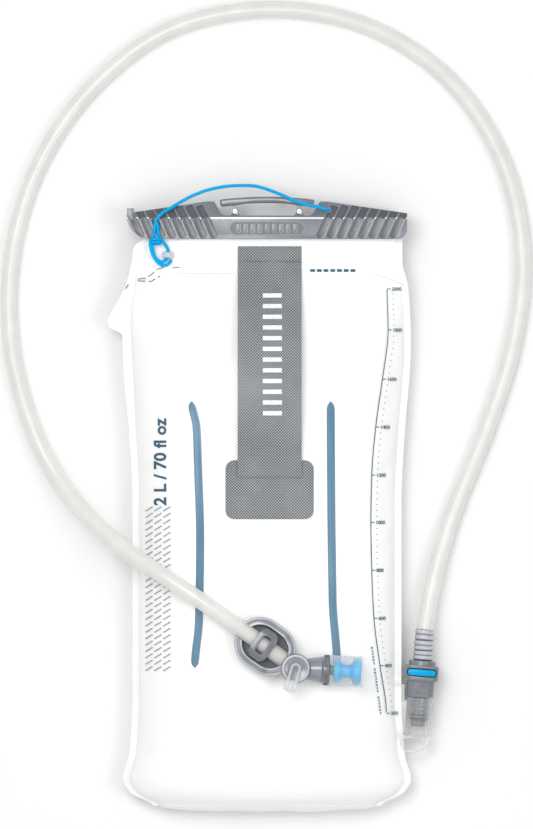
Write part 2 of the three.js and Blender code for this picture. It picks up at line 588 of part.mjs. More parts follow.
// The clear lever on the cap: an arch with two legs that reach past its edge.
function shutoffLever() {
  const w = LEVER.width / 2;
  const inner = w - LEVER.bar;
  const points = [[-w, -LEVER.reach]];
  for (let i = 0; i <= 8; i++) {
    const angle = Math.PI * (1 - i / 8);
    points.push([w * Math.cos(angle), w * Math.sin(angle)]);
  }
  points.push([w, -LEVER.reach], [inner, -LEVER.reach]);
  for (let i = 0; i <= 6; i++) {
    const angle = (Math.PI * i) / 6;
    points.push([inner * Math.cos(angle), inner * Math.sin(angle)]);
  }
  points.push([-inner, -LEVER.reach]);
  const bar = slab(points.reverse(), LEVER.z0, LEVER.z1);
  const foot = block([-w, -LEVER.reach, LEVER.z0], [w, -BARREL.capR - 3.5, LEVER.z1]);
  return joined(bar, foot).rotateZ(LEVER.turn);
}

// The soft mouthpiece: a base ring, a neck and a closed lip with a slit face.
const biteValve = () => turnedX([[BITE.base, BITE.bore], [BITE.base, BITE.baseR], [BITE.neck, BITE.baseR],
  [BITE.neck + 1.6, BITE.neckR], [BITE.lip - 1, BITE.neckR], [BITE.lip, BITE.lipR - 0.6],
  [BITE.end - 1.2, BITE.lipR], [BITE.end, BITE.lipR - 1.6], [BITE.end, 0], [BITE.lip, 0],
  [BITE.lip - 1, BITE.bore], [BITE.base, BITE.bore]]);

const biteCover = () => turnedX([[COVER.x0, COVER.inner], [COVER.x0, COVER.outer],
  [COVER.end - 1, COVER.outer], [COVER.end, COVER.outer - 1.2], [COVER.end, 0], [COVER.x1, 0],
  [COVER.x1, COVER.inner], [COVER.x0, COVER.inner]]);

// ---- the assembly ------------------------------------------------------------------------

const film = clear(0xf2f4f4, 0.5);
const softClear = clear(0xe9ecec, 0.5);
const hardGrey = plain(0x7b7f88, 0.45);
const weave = plain(0x969b9d, 0.9);
const printBlue = plain(0x5a8caa, 0.4);
const brightBlue = plain(0x00a5eb, 0.4);
const seal = plain(0x2b2d30, 0.6);
const steel = plain(0xb4b8bc, 0.3);

function piece(parent, name, geometry, material) {
  const mesh = new THREE.Mesh(geometry, material);
  mesh.name = name;
  parent.add(mesh);
}

function placed(parent, [x, y, z], turn = 0) {
  const group = new THREE.Group();
  group.position.set(x, y, z);
  group.rotation.z = turn;
  parent.add(group);
  return group;
}

const bladder = new THREE.Group();

const finRoom = block([PORT_FIN.x0 - GAP, PORT_FIN.y0 - GAP, PORT_Z - PORT_FIN.half - GAP],
  [PORT_FIN.x1, PORT_FIN.y1 + GAP, PORT_Z + PORT_FIN.half + GAP]);
const loopRoom = block([LOOP.edge - GAP, LOOP.low - GAP, PORT_Z - LOOP.half - GAP],
  [PORT_FIN.x1, PORT_FIN.y0 + 1, PORT_Z + LOOP.half + GAP]);
piece(bladder, "front_panel", cut(panel(true), finRoom, loopRoom), film);
piece(bladder, "back_panel", cut(panel(false), finRoom, loopRoom), film);
piece(bladder, "base_gusset", baseSheet(), film);
piece(bladder, "baffle_left", baffle(BAFFLE.left), printBlue);
piece(bladder, "baffle_right", baffle(BAFFLE.right), printBlue);
piece(bladder, "mouth_rail_front", mouthRail(1), softClear);
piece(bladder, "mouth_rail_back", mouthRail(-1), softClear);
piece(bladder, "tether_tab", tetherTab(), softClear);
piece(bladder, "tether_loop", swept(TETHER_LOOP, CORD_R, 8, 20), brightBlue);
const bowed = (t) => STRAP.lift - 1.2 * t + STRAP.bow * Math.sin(Math.PI * Math.min(1, t * 1.06)) ** 1.5;
piece(bladder, "carry_strap", laid(STRAP, 2, 20, (t) => (t > 0.94 ? 0.5 : bowed(t))), weave);
piece(bladder, "strap_anchor_patch", laid(PATCH, 4, 3, () => PATCH.lift), weave);

const mouth = placed(bladder, [0, 0, NECK_Z]);
piece(mouth, "slider_clamp", sliderBody(), hardGrey);
piece(mouth, "hanger_bar", hangerBar(), hardGrey);
piece(mouth, "hanger_pin_left", hangerPin(-LUG.x), steel);
piece(mouth, "hanger_pin_right", hangerPin(LUG.x), steel);
piece(bladder, "tether_cord", swept(TETHER, CORD_R, 8, 50), brightBlue);

const coupling = placed(bladder, [COUPLING.x, COUPLING.y, PORT_Z], COUPLING.lean);
piece(coupling, "outlet_port", outletPort(), softClear);
piece(coupling, "port_cartridge", cartridge(), hardGrey);
piece(coupling, "cartridge_o_ring_upper", ring(CARTRIDGE.r - 0.35, 0.5, CARTRIDGE.grooves[0]), seal);
piece(coupling, "cartridge_o_ring_lower", ring(CARTRIDGE.r - 0.35, 0.5, CARTRIDGE.grooves[1]), seal);
piece(coupling, "stem_o_ring", ring(STEM.groove + 0.55, 0.3, STEM.grooveY), seal);
piece(coupling, "poppet", poppet(), softClear);
piece(coupling, "poppet_spring", coil(2.4, 0.3, -15.3, -9.9, 4), steel);
piece(coupling, "coupler_body", couplerBody(), hardGrey);
piece(coupling, "release_button", releaseButton(), brightBlue);
piece(coupling, "button_spring", buttonSpring(), steel);

piece(bladder, "drink_tube", swept(ROUTE, TUBE.od / 2, 10, TUBE.steps, TUBE.id / 2), softClear);
const clip = placed(bladder, clipPlace(), TUBE_TURN);
piece(clip, "tube_clip", tubeClip(), hardGrey);

const valve = placed(bladder, [VALVE.x, VALVE.y, TUBE_Z], VALVE.lean);
piece(valve, "valve_housing", valveHousing(), hardGrey);
piece(valve, "valve_collar", valveCollar(), hardGrey);
piece(valve, "shutoff_barrel", shutoffBarrel(), hardGrey);
piece(valve, "shutoff_lever", shutoffLever(), softClear);
piece(valve, "bite_valve", biteValve(), brightBlue);
piece(valve, "bite_valve_cover", biteCover(), softClear);

export default bladder;
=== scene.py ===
"""Looks of a two litre hydration bladder that lies filled on its back.

Sizes are millimetres in the part's frame (X right, Y towards the slide clamp, Z up), and
finished() turns each piece into metres. Matrices named *_FRAME place a piece that is built
about its own axes.
"""

from math import atan2, cos, dist, exp, hypot, pi, radians, sin, sqrt, tan
from types import SimpleNamespace as Sizes

import bmesh
import bpy
from mathutils import Matrix, Vector, noise


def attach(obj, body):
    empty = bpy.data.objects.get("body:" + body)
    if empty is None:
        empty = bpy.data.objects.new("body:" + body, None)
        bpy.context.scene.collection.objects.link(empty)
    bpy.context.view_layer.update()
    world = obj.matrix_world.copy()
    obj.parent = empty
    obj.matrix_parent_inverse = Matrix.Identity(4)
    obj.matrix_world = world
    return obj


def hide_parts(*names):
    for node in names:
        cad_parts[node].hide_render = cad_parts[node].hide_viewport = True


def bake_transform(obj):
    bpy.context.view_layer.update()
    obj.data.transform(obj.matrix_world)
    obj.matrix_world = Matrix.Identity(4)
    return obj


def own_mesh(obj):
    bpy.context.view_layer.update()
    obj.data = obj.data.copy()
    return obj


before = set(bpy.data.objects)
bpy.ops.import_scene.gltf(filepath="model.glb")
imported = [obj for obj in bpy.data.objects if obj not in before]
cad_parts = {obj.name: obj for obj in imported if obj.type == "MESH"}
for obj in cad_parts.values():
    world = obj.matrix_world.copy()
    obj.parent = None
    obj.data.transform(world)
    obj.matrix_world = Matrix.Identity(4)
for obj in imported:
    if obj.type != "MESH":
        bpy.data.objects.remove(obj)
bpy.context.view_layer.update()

# ---- driving dimensions ----

MM = 0.001

# Bag outlines are (y, distance from the middle), and levels are (y, height).
MOUTH_Y = 162.5
BASE_Y = -174.5
BASE_BULGE = 3.2
FLANGE = 4
GAP = 0.3
LAP = GAP / 2 + 0.8
FILM_SHEET = 0.5
NECK_Z = 18.2
NECK_Y = 141
PORT_Z = 13
FOOT = [(BASE_Y, 66), (-167, 79), (-159, 83.5), (-145, 80), (-113, 78), (3, 78), (43, 80)]
LEFT_NECK = [(141, 78.5), (150, 77), (156, 70), (MOUTH_Y, 70)]
LEFT_EDGE = [*FOOT, (82, 83.5), (99, 84), (102.5, 91), (106, 92.6), (115, 88.5), (126, 82.5), *LEFT_NECK]
LEFT_BODY = [*FOOT, (82, 82), (108, 83), (126, 80.5), *LEFT_NECK]
RIGHT_EDGE = [*FOOT, (93, 83.5), (126, 82), (141, 78.5), (MOUTH_Y, 78.5)]
SEAM = [(BASE_Y, PORT_Z), (80, PORT_Z), (110, 15), (141, NECK_Z), (MOUTH_Y, NECK_Z)]
CROWN = [
    (BASE_Y, 25), (-171, 31.5), (-160, 37.5), (-135, 40), (30, 40), (75, 37.5), (105, 31), (128, 24),
    (141, 21.3), (MOUTH_Y, 21.3),
]
FLOOR = [(BASE_Y, 0), (85, 0), (112, 3.5), (141, 15.1), (MOUTH_Y, 15.1)]
WELD_HALF = 1.0

BAFFLE = Sizes(y0=-94, y1=60, half=2.3, groove=1.1, spread=4.5)
LEFT_STRIP = [(-94, -41.8), (-67, -39.4), (-20, -38.7), (24, -40), (45, -40.8), (60, -43.6)]
RIGHT_STRIP = [(-94, 40.6), (-55, 38), (15, 37.1), (60, 36.9)]

STRAP = Sizes(x0=-17, x1=20, y0=16.5, y1=150, thick=1.3, bow=7.5, lift=1.7, corner=0)
PATCH = Sizes(x0=-24, x1=27, y0=-8, y1=26, thick=0.8, lift=0.4, corner=5)
HEM_Y = 141.3

SLIDER = Sizes(half=81.2, y0=154.2, crease=166.3, ridge=176, depth=7.5, ridge_half=1.8, throat=3.5,
               cavity=5.9, lip_top=156.9, cavity_top=163.2, closed_to=-74.5, flat=0.5)
SLIDER_FRAME = Matrix.Translation((0, 0, NECK_Z))
WING = Sizes(inner=33, outer_ridge=169)
CUTOUT = Sizes(y=167.8, bottom=26, top=33.5)
GRIP = Sizes(count=8, pitch=6.06, width=4.2, depth=1.2, first=31.5, lean=0.42)
RELIEF = Sizes(y=160.4, bars=9, pitch=4.1)
LUG = Sizes(x=18.6, pin_y=170.3, pin_r=1.2, ear_z=1.9, thick=1.4)
HANGER = Sizes(half=27.7, top=178.8, sag=1.7, thick=4.3, depth=3, neck=1.5)
TETHER_HOLE = (35.7, 171)

CORD_R = 0.95
TETHER = [
    (35.7, 171, 21.2), (35.3, 171.15, 23.3), (33.3, 171.8, 25.2), (29.6, 172.8, 25.7), (24.9, 173.6, 24.8),
    (17, 176, 23.2), (8, 180, 22.6), (-6, 184.8, 19), (-16.2, 185.3, 17.4), (-24, 184.8, 17),
    (-33.6, 182.9, 17.8), (-42.9, 179.5, 19.4), (-50.5, 175.4, 21.6), (-56.8, 171.6, 24.8),
    (-61.5, 168.6, 26.8), (-64.2, 165, 27.1), (-65.3, 160.4, 27.1), (-65.9, 155.6, 27),
    (-66.3, 151, 25.9), (-65.9, 146.8, 24.8), (-64.2, 142.9, 23.9), (-61.3, 141, 23.5),
    (-58.5, 142.3, 23.4), (-57.3, 145.2, 23.4), (-57.7, 148.6, 23.9), (-59.7, 151.8, 25),
    (-61.9, 154.8, 26.2), (-63.1, 158.2, 26.9), (-63.3, 161.2, 27.1), (-63.9, 163.8, 27.1),
]
SECOND_STRAND = [(-67.3, 153.6, 26.4), (-67.6, 150.6, 25.8), (-66.6, 146.4, 24.8), (-64, 141.6, 23.7),
                 (-60.6, 138.9, 23.3), (-57.3, 139.6, 23.2), (-55.5, 142.4, 23.2)]
KNOT = Vector((-65.5, 153.6, 26.6))
TAB = Sizes(x=-57.4, y=145, z=21.6, inner=1.7, wall=1.3, legs=2, depth=3)

COUPLING_FRAME = Matrix.Translation((88.6, -111.9, PORT_Z)) @ Matrix.Rotation(-0.0807, 4, "Z")
PORT = Sizes(r=8, bore=6.55, bore_depth=17, chamber=4.5, chamber_depth=21.4, depth=22.5)
FINGER_LOOP = [(77.4, -130), (77.4, -140.6), (80.6, -143.8), (87, -143.8), (92.5, -141), (95.4, -136),
               (96, -130), (90, -126)]
FINGER_HOLE = [(78.8, -142.1), (89.2, -142.1), (91.8, -137.6), (91.4, -135.4), (78.8, -135.4)]
COUPLER = Sizes(socket=5, socket_depth=17.5, body_w=16, body_d=15, head_w=19.5, head_d=18, head_y0=9.9,
                head_y1=18.8, collar_r=7.8, collar_top=21.6, corner=5)
BUTTON = Sizes(width=16.2, height=3.7, z0=7.3, z1=9.5, y=14.7, floor=5.5, foot=(94.3, -97.8, 13.1))
COIL = Sizes(x=7, r=0.9, turns=4, z0=0.3, height=6.45, wire=0.22)
SLEEVE = Sizes(length=18, ribs=6, bore=4.85, thin=4.98, low=5.9, high=5.55)

TUBE_R = 4.8
TUBE_BORE = 3.2
TUBE_Z = 49.5
ROUTE = [
    (90.39, -89.8, 13), (91.7, -73.4, 12.9), (96.4, -46, 9.6), (106.8, -9, 5.6), (127.9, 45, 5),
    (143.2, 93.7, 4.9), (148.5, 145, 4.9), (137.5, 198, 4.9), (106.7, 246, 4.9),
    (57.9, 278, 4.9), (0, 287.7, 4.9), (-57, 275.7, 4.9), (-102.7, 241, 4.9), (-133, 196, 4.9),
    (-148, 145, 4.9), (-148.5, 92.7, 5.2), (-135.5, 43, 6.4), (-122.3, 17, 10.6),
    (-104.9, -5.5, 20.4), (-85, -23.6, 32.5), (-65, -37.6, 42.2), (-45, -50.6, 48),
    (-33.8, -58.3, TUBE_Z), (-10, -75, TUBE_Z), (10.1, -89.4, TUBE_Z),
]
TUBE_END = Vector(ROUTE[-1])
TUBE_TURN = atan2(ROUTE[-1][1] - ROUTE[-3][1], ROUTE[-1][0] - ROUTE[-3][0])
CLIP = Sizes(x=-1.7, y=-82.4, half=18.5, half_width=15, base=-7.2, floor=-5.2, top=2.5, cover_top=6.2,
             cover_from=9.5)
BRIDGE = Sizes(at=-1.5, along=11.4, across=19.6, top=7, window=(5.2, 11.2))

VALVE_TURN = -0.0565
VALVE_FRAME = Matrix.Translation((16.6, -94.1, TUBE_Z)) @ Matrix.Rotation(VALVE_TURN, 4, "Z")
HOUSING = Sizes(r=7.4, z0=-8, z1=6.3, socket=4.6, socket_z=-5, flow=2.4)
CONE = Sizes(x0=5, x1=15.4, r0=5.8, r1=7.7)
COLLAR = Sizes(x0=15.7, x1=19.6, r=8.9, spigot=2.9, spigot_end=30, bore=1.6, notches=8)
BARREL = Sizes(r=4.3, z0=-4.7, cap_r=8.5, cap_z=6.6, cap_top=9.2)
LEVER = Sizes(z=10.35, flatten=0.62, half=2.4, reach=14.4, turn=-0.223)
BITE = Sizes(base=22, neck=25.4, lip=33.3, end=38, base_r=7.2, neck_r=3.7, lip_r=8)
COVER = Sizes(x0=20, x1=38.3, end=39.2, inner=8.4, outer=9.3)

# The scale's ticks are (y, x), from 200 up.
TICKS = [(-120.6, 69.2), (-93, 65.5), (-65.5, 62), (-37.7, 60.7), (-10, 60.2), (17.4, 60.7), (45.2, 63),
         (73, 66.9), (101.5, 70.2), (125.3, 69.6)]

VIEW_CENTRE = (-0.29, 52.5)
VIEW_HEIGHT = 480.8
LENS = 600
SENSOR = 36
FLOOR_HALF = 6000


# ---- shapes ----


def mix(a, b, t):
    return a + (b - a) * t


def parts(count):
    """0 to 1 in that many equal steps."""
    return [i / count for i in range(count + 1)]


def smooth(low, high, at):
    """0 below low, 1 above high, and a soft step between."""
    t = min(1, max(0, (at - low) / (high - low)))
    return t * t * (3 - 2 * t)


def hermite(a, b, leave, arrive, t):
    return mix(a, b, smooth(0, 1, t)) + (leave * (1 - t) - arrive * t) * t * (1 - t)


def through(keys, at):
    """A smooth curve through (at, value) keys that never passes a key's value on its way."""
    last = len(keys) - 1
    at = min(max(at, keys[0][0]), keys[last][0])
    i = next(n for n in range(last) if n == last - 1 or at <= keys[n + 1][0])

    def secant(n):
        return (keys[n + 1][1] - keys[n][1]) / (keys[n + 1][0] - keys[n][0])

    def slope(n):
        if n in (0, last) or secant(n - 1) * secant(n) <= 0:
            return 0
        return 2 * secant(n - 1) * secant(n) / (secant(n - 1) + secant(n))

    span = keys[i + 1][0] - keys[i][0]
    return hermite(keys[i][1], keys[i + 1][1], span * slope(i), span * slope(i + 1), (at - keys[i][0]) / span)


def curve_through(points, step):
    """Points about step apart on a centripetal Catmull-Rom curve."""
    points = [Vector(p) for p in points]
    ends = [2 * points[0] - points[1], *points, 2 * points[-1] - points[-2]]
    made = []
    for a, b, c, d in zip(ends, ends[1:], ends[2:], ends[3:]):
        ab, bc, cd = (sqrt((end - start).length) for start, end in ((a, b), (b, c), (c, d)))
        leave = ((b - a) / ab - (c - a) / (ab + bc) + (c - b) / bc) * bc
        arrive = ((c - b) / bc - (d - b) / (bc + cd) + (d - c) / cd) * bc
        count = max(2, round((c - b).length / step))
        made += [hermite(b, c, leave, arrive, t) for t in parts(count)[:-1]]
    return [*made, points[-1]]


def arc(r, start, end, steps, centre=(0, 0)):
    """Points between two angles, both ends included."""
    angles = [mix(start, end, t) for t in parts(steps)]
    return [(centre[0] + r * cos(t), centre[1] + r * sin(t)) for t in angles]


def circle(r, sides, centre=(0, 0)):
    return arc(r, 0, 2 * pi, sides, centre)[:-1]


def rectangle(x0, y0, x1, y1):
    return [(x0, y0), (x1, y0), (x1, y1), (x0, y1)]


def rounded_rectangle(width, height, radius):
    outline = []
    for corner, (sx, sy) in enumerate(((1, 1), (-1, 1), (-1, -1), (1, -1))):
        centre = (sx * (width / 2 - radius), sy * (height / 2 - radius))
        outline += arc(radius, corner * pi / 2, (corner + 1) * pi / 2, 8, centre)
    return outline


def filleted(corners, radius):
    """A closed outline with each corner rounded."""
    outline = []
    for i, corner in enumerate(corners):
        here = Vector(corner)
        runs = [Vector(corners[(i + n) % len(corners)]) - here for n in (-1, 1)]
        cut = min(radius, *(0.49 * run.length for run in runs))
        a, b = (here + run.normalized() * cut for run in runs)
        outline += [tuple(a * (1 - t) ** 2 + here * 2 * t * (1 - t) + b * t * t) for t in parts(6)]
    return outline


def skin(rows, around=False, ends=False):
    """Points and faces through rows of points; around closes each row, ends closes both end rows."""
    wide = len(rows[0])
    points = [p for row in rows for p in row]
    faces = []
    for i in range(len(rows) - 1):
        for j in range(wide if around else wide - 1):
            k = (j + 1) % wide
            faces.append((i * wide + j, i * wide + k, (i + 1) * wide + k, (i + 1) * wide + j))
    if ends:
        faces += [tuple(reversed(range(wide))), tuple(range(len(points) - wide, len(points)))]
    return points, faces


def linked(name, mesh):
    obj = bpy.data.objects.new(name, mesh)
    bpy.context.scene.collection.objects.link(obj)
    return obj


def shape(points, faces, name="shape"):
    """A new object, in millimetres, with its shared points merged."""
    mesh = bpy.data.meshes.new(name)
    mesh.from_pydata([tuple(p) for p in points], [], faces)
    bm = bmesh.new()
    bm.from_mesh(mesh)
    bmesh.ops.remove_doubles(bm, verts=bm.verts, dist=1e-4)
    bmesh.ops.dissolve_degenerate(bm, edges=bm.edges, dist=1e-4)
    bmesh.ops.recalc_face_normals(bm, faces=bm.faces)
    bm.to_mesh(mesh)
    bm.free()
    return linked(name, mesh)


def placed(axis, outline, height):
    """An outline at a height: (x, y) along z, (y, z) along x, or (x, z) along y."""
    order = {"x": (2, 0, 1), "y": (0, 2, 1), "z": (0, 1, 2)}[axis]
    return [tuple((a, b, height)[n] for n in order) for a, b in outline]


def prism(outline, low, high, axis="z"):
    rows = [placed(axis, outline, h) for h in (low, high)]
    return shape(*skin(rows, around=True, ends=True))


def lathe(profile, axis="y", sides=56):
    """A closed (radius, height) profile turned about an axis."""
    rows = [placed(axis, circle(r, sides), h) for r, h in [*profile, profile[0]]]
    return shape(*skin(rows, around=True))


def rod(axis, low, high, r, at=(0, 0)):
    """A round rod between two values along an axis, through a point of the other two."""
    return prism(circle(r, 40, at), low, high, axis)


def block(low, high):
    return prism(rectangle(*low[:2], *high[:2]), low[2], high[2])


def slab(width, height, radius, low, high, at=(0, 0, 0), axis="z"):
    """A rounded rectangle run along an axis, and moved."""
    return shifted(prism(rounded_rectangle(width, height, radius), low, high, axis), *at)


def rings(path, radius, sides):
    """A ring of points about each point of a path, without twist; radius may be a function of its index."""
    rows = []
    normal = (path[1] - path[0]).orthogonal()
    for i, at in enumerate(path):
        tangent = (path[min(i + 1, len(path) - 1)] - path[max(i - 1, 0)]).normalized()
        normal = (normal - tangent * normal.dot(tangent)).normalized()
        across = tangent.cross(normal)
        r = radius(i) if callable(radius) else radius
        rows.append([at + (normal * c + across * s) * r for c, s in circle(1, sides)])
    return rows


def cord_mesh(path, radius, sides=14):
    return shape(*skin(rings(path, radius, sides), around=True, ends=True))


def pipe_mesh(path, outer, inner, sides=36):
    """A pipe with open ends."""
    outside = rings(path, outer, sides)
    inside = rings(path, inner, sides)
    return shape(*skin([*outside, *reversed(inside), outside[0]], around=True))


def evaluated_mesh(obj):
    return bpy.data.meshes.new_from_object(obj.evaluated_get(bpy.context.evaluated_depsgraph_get()))


def modified(obj, kind, **settings):
    """obj with a modifier added and applied."""
    modifier = obj.modifiers.new(kind.lower(), kind)
    for key, value in settings.items():
        setattr(modifier, key, value)
    mesh = evaluated_mesh(obj)
    obj.modifiers.clear()
    obj.data = mesh
    return obj


def combined(obj, others, operation):
    for other in others:
        modified(obj, "BOOLEAN", object=other, operation=operation, solver="EXACT")
        bpy.data.objects.remove(other)
    return obj


def carved(obj, *cutters):
    return combined(obj, cutters, "DIFFERENCE")


def fused(obj, *others):
    return combined(obj, others, "UNION")


def eased(obj, width, segments=2, angle=28, material=-1):
    """obj with its sharp edges rounded; material is the look index of the rounded edges."""
    return modified(obj, "BEVEL", width=width, segments=segments, limit_method="ANGLE",
                    angle_limit=radians(angle), miter_outer="MITER_ARC", material=material)


def thickened(obj):
    return modified(obj, "SOLIDIFY", thickness=FILM_SHEET, offset=-1)


def moved(obj, matrix):
    obj.data.transform(matrix)
    return obj


def shifted(obj, x, y, z=0):
    return moved(obj, Matrix.Translation((x, y, z)))


def facing(obj, direction):
    """obj with its faces turned so that the middle one looks that way."""
    faces = obj.data.polygons
    if faces[len(faces) // 2].normal.dot(Vector(direction)) < 0:
        obj.data.flip_normals()
    return obj


def merged(*objs):
    """Several separate shapes as one object, without joining their surfaces."""
    bm = bmesh.new()
    for obj in objs:
        bm.from_mesh(obj.data)
        bpy.data.objects.remove(obj)
    mesh = bpy.data.meshes.new("merged")
    bm.to_mesh(mesh)
    bm.free()
    return linked("merged", mesh)


def dress(obj, look):
    """Gives obj one look, or a list of them by face index."""
    looks = look if isinstance(look, list) else [look]
    indices = [face.material_index for face in obj.data.polygons]
    obj.data.materials.clear()
    for each in looks:
        obj.data.materials.append(each)
    for face, index in zip(obj.data.polygons, indices):
        face.material_index = min(index, len(looks) - 1)
    return obj


def indexed(obj, index, test=lambda centre: True):
    """Marks the faces whose centre passes the test for the look at that index."""
    for face in obj.data.polygons:
        if test(face.center):
            face.material_index = index
    return obj


def finished(obj, name, look, body, slot, *nodes, place=Matrix.Identity(4), sharp=35):
    """obj in metres, in its place, shaded, and riding on its CAD body in the place of its nodes."""
    obj.name = name
    obj.data.transform(Matrix.Scale(MM, 4) @ place)
    obj.data.shade_smooth()
    obj.data.set_sharp_from_angle(angle=radians(sharp))
    dress(obj, look)
    if nodes:
        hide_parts(*nodes)
    if body:
        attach(obj, body)
    return obj


def metres(point):
    return [c * MM for c in point]


# ---- looks ----


def srgb(*colour):
    """A screen colour, 0 to 255, as the renderer's linear one."""
    return [((c / 255 + 0.055) / 1.055) ** 2.4 if c > 10 else c / 3295 for c in colour]


class Look:
    """A procedural material on one shader, with its own sockets for what is the same all over."""

    def __init__(self, name, roughness, **sockets):
        self.material = bpy.data.materials.new(name)
        self.material.use_nodes = True
        self.tree = self.material.node_tree
        self.shader = self.tree.nodes["Principled BSDF"]
        self.shader.inputs["Roughness"].default_value = roughness
        for key, value in sockets.items():
            self.shader.inputs[key.replace("_", " ")].default_value = value
        self.place = self.add("TexCoord").outputs["Object"]

    def add(self, kind, inputs=(), **settings):
        node = self.tree.nodes.new("ShaderNode" + kind)
        for key, value in settings.items():
            setattr(node, key, value)
        for key, value in dict(inputs).items():
            if isinstance(value, bpy.types.NodeSocket):
                self.tree.links.new(value, node.inputs[key])
            else:
                node.inputs[key].default_value = value
        return node

    def noise(self, scale, detail=3, stretch=(1, 1, 1)):
        """Noise whose marks are about 1/scale metres across."""
        place = self.add("Mapping", {"Vector": self.place, "Scale": stretch}).outputs[0]
        return self.add("TexNoise", {"Vector": place, "Scale": scale, "Detail": detail}).outputs[0]

    def waves(self, pitch, turn):
        """Bands a pitch apart, in metres, turned about Z."""
        place = self.add("Mapping", {"Vector": self.place, "Rotation": (0, 0, turn)}).outputs[0]
        return self.add("TexWave", {"Vector": place, "Scale": 2 * pi / (20 * pitch)}).outputs[1]

    def ramp(self, value, low, high, to_low=0.0, to_high=1.0):
        inputs = {"Value": value, "From Min": low, "From Max": high, "To Min": to_low, "To Max": to_high}
        return self.add("MapRange", inputs).outputs[0]

    def maths(self, operation, a, b):
        return self.add("Math", {0: a, 1: b}, operation=operation).outputs[0]

    def paint(self, socket, value):
        self.tree.links.new(value, self.shader.inputs[socket])

    def tint(self, value, dark, light):
        """The colour that goes from dark to light as value goes from 0 to 1."""
        inputs = {0: value, 6: (*srgb(*dark), 1), 7: (*srgb(*light), 1)}
        self.paint("Base Color", self.add("Mix", inputs, data_type="RGBA").outputs[2])

    def bump(self, height, distance, strength=0.5):
        """Relief of that height in metres; a second call lies on the first."""
        inputs = {"Height": height, "Distance": distance, "Strength": strength}
        linked_to = self.shader.inputs["Normal"].links
        if linked_to:
            inputs["Normal"] = linked_to[0].from_socket
        self.paint("Normal", self.add("Bump", inputs).outputs[0])

    def grained(self, dark, light, marks, grain, low=0.3):
        """Two tones in soft marks, under a grain of (scale, detail, height, strength)."""
        self.tint(self.ramp(self.noise(*marks), low, 0.7), dark, light)
        self.bump(self.noise(*grain[:2]), *grain[2:])
        return self.material


def film_look(name, dark, light):
    """Milky soft film: faint clouding, a fine frost and soft creases along the bag."""
    # Its small emission makes the film glow faintly white: painted light.
    look = Look(name, 0.34, Alpha=0.86, IOR=1.5, Coat_Weight=0.25, Coat_Roughness=0.12,
                Emission_Strength=0.05)
    look.tint(look.ramp(look.noise(22, 4), 0.35, 0.65), dark, light)
    look.paint("Roughness", look.ramp(look.noise(160), 0.3, 0.7, 0.3, 0.42))
    look.bump(look.noise(45, 3, (1.0, 0.35, 1.0)), 0.0008)
    look.bump(look.noise(2400, 2), 0.00003)
    return look.material


def moulded_look(name, dark, light, roughness, speckle=0.00001, gloss=0.8):
    """Moulded plastic: a fine grain, and faint flow marks in its colour."""
    look = Look("moulded_" + name, roughness, Specular_IOR_Level=gloss)
    look.paint("Roughness", look.ramp(look.noise(900, 2), 0.3, 0.7, roughness - 0.06, roughness + 0.08))
    return look.grained(dark, light, (120, 4, (1.0, 0.5, 1.0)), (1600, 3, speckle, 0.6))


def clear_look(name, tint, thin, thick, roughness, ripples=0.5):
    """Clear or milky plastic, denser where it is seen edge on."""
    look = Look(name, roughness, IOR=1.5, Specular_IOR_Level=0.6)
    facing_away = look.add("LayerWeight", {"Blend": 0.35}).outputs["Facing"]
    look.paint("Alpha", look.ramp(facing_away, 0.05, 0.85, thin, thick))
    return look.grained([c - 8 for c in tint], tint, (90,), (500, 2, 0.00004, ripples))


def weave_look(name, dark, light, pitch):
    """Plain weave on the bias: light and dark crossings, and the ridges of the yarns."""
    look = Look(name, 0.82, Sheen_Weight=0.15, Sheen_Roughness=0.5)
    cross = look.maths("MULTIPLY", look.waves(pitch, radians(45)), look.waves(pitch, radians(-45)))
    worn = look.ramp(look.noise(24), 0.3, 0.7, -0.14, 0.14)
    look.tint(look.maths("ADD", look.ramp(cross, 0.02, 0.55), worn), dark, light)
    look.bump(cross, 0.00025, 0.8)
    look.bump(look.noise(3000, 2), 0.00005)
    return look.material


def braid_look():
    """Braided elastic cord, seen as slanting stitches."""
    look = Look("cord_braid", 0.5, Specular_IOR_Level=0.1)
    place = look.add("Mapping", {"Vector": look.place, "Rotation": (0.6, 0.5, 0.8)}).outputs[0]
    stitch = look.add("TexVoronoi", {"Vector": place, "Scale": 1100.0}).outputs["Distance"]
    look.tint(look.ramp(stitch, 0.1, 0.7), (0, 180, 236), (0, 158, 224))
    look.bump(stitch, 0.0001, 0.6)
    return look.material


def wire_look():
    """Drawn steel wire, brushed along its length."""
    look = Look("steel_wire", 0.3, Metallic=1.0)
    brushed = look.noise(1500, 3, (1.0, 1.0, 0.15))
    look.tint(look.ramp(brushed, 0.3, 0.7), (168, 172, 176), (205, 208, 212))
    look.bump(brushed, 0.00002)
    return look.material


def ink_look(name, colour):
    """Printed ink, slightly thin in places."""
    thin = [min(255, c + 26) for c in colour]
    return Look(name, 0.6).grained(colour, thin, (700,), (2500, 2, 0.00002, 0.4), 0.35)


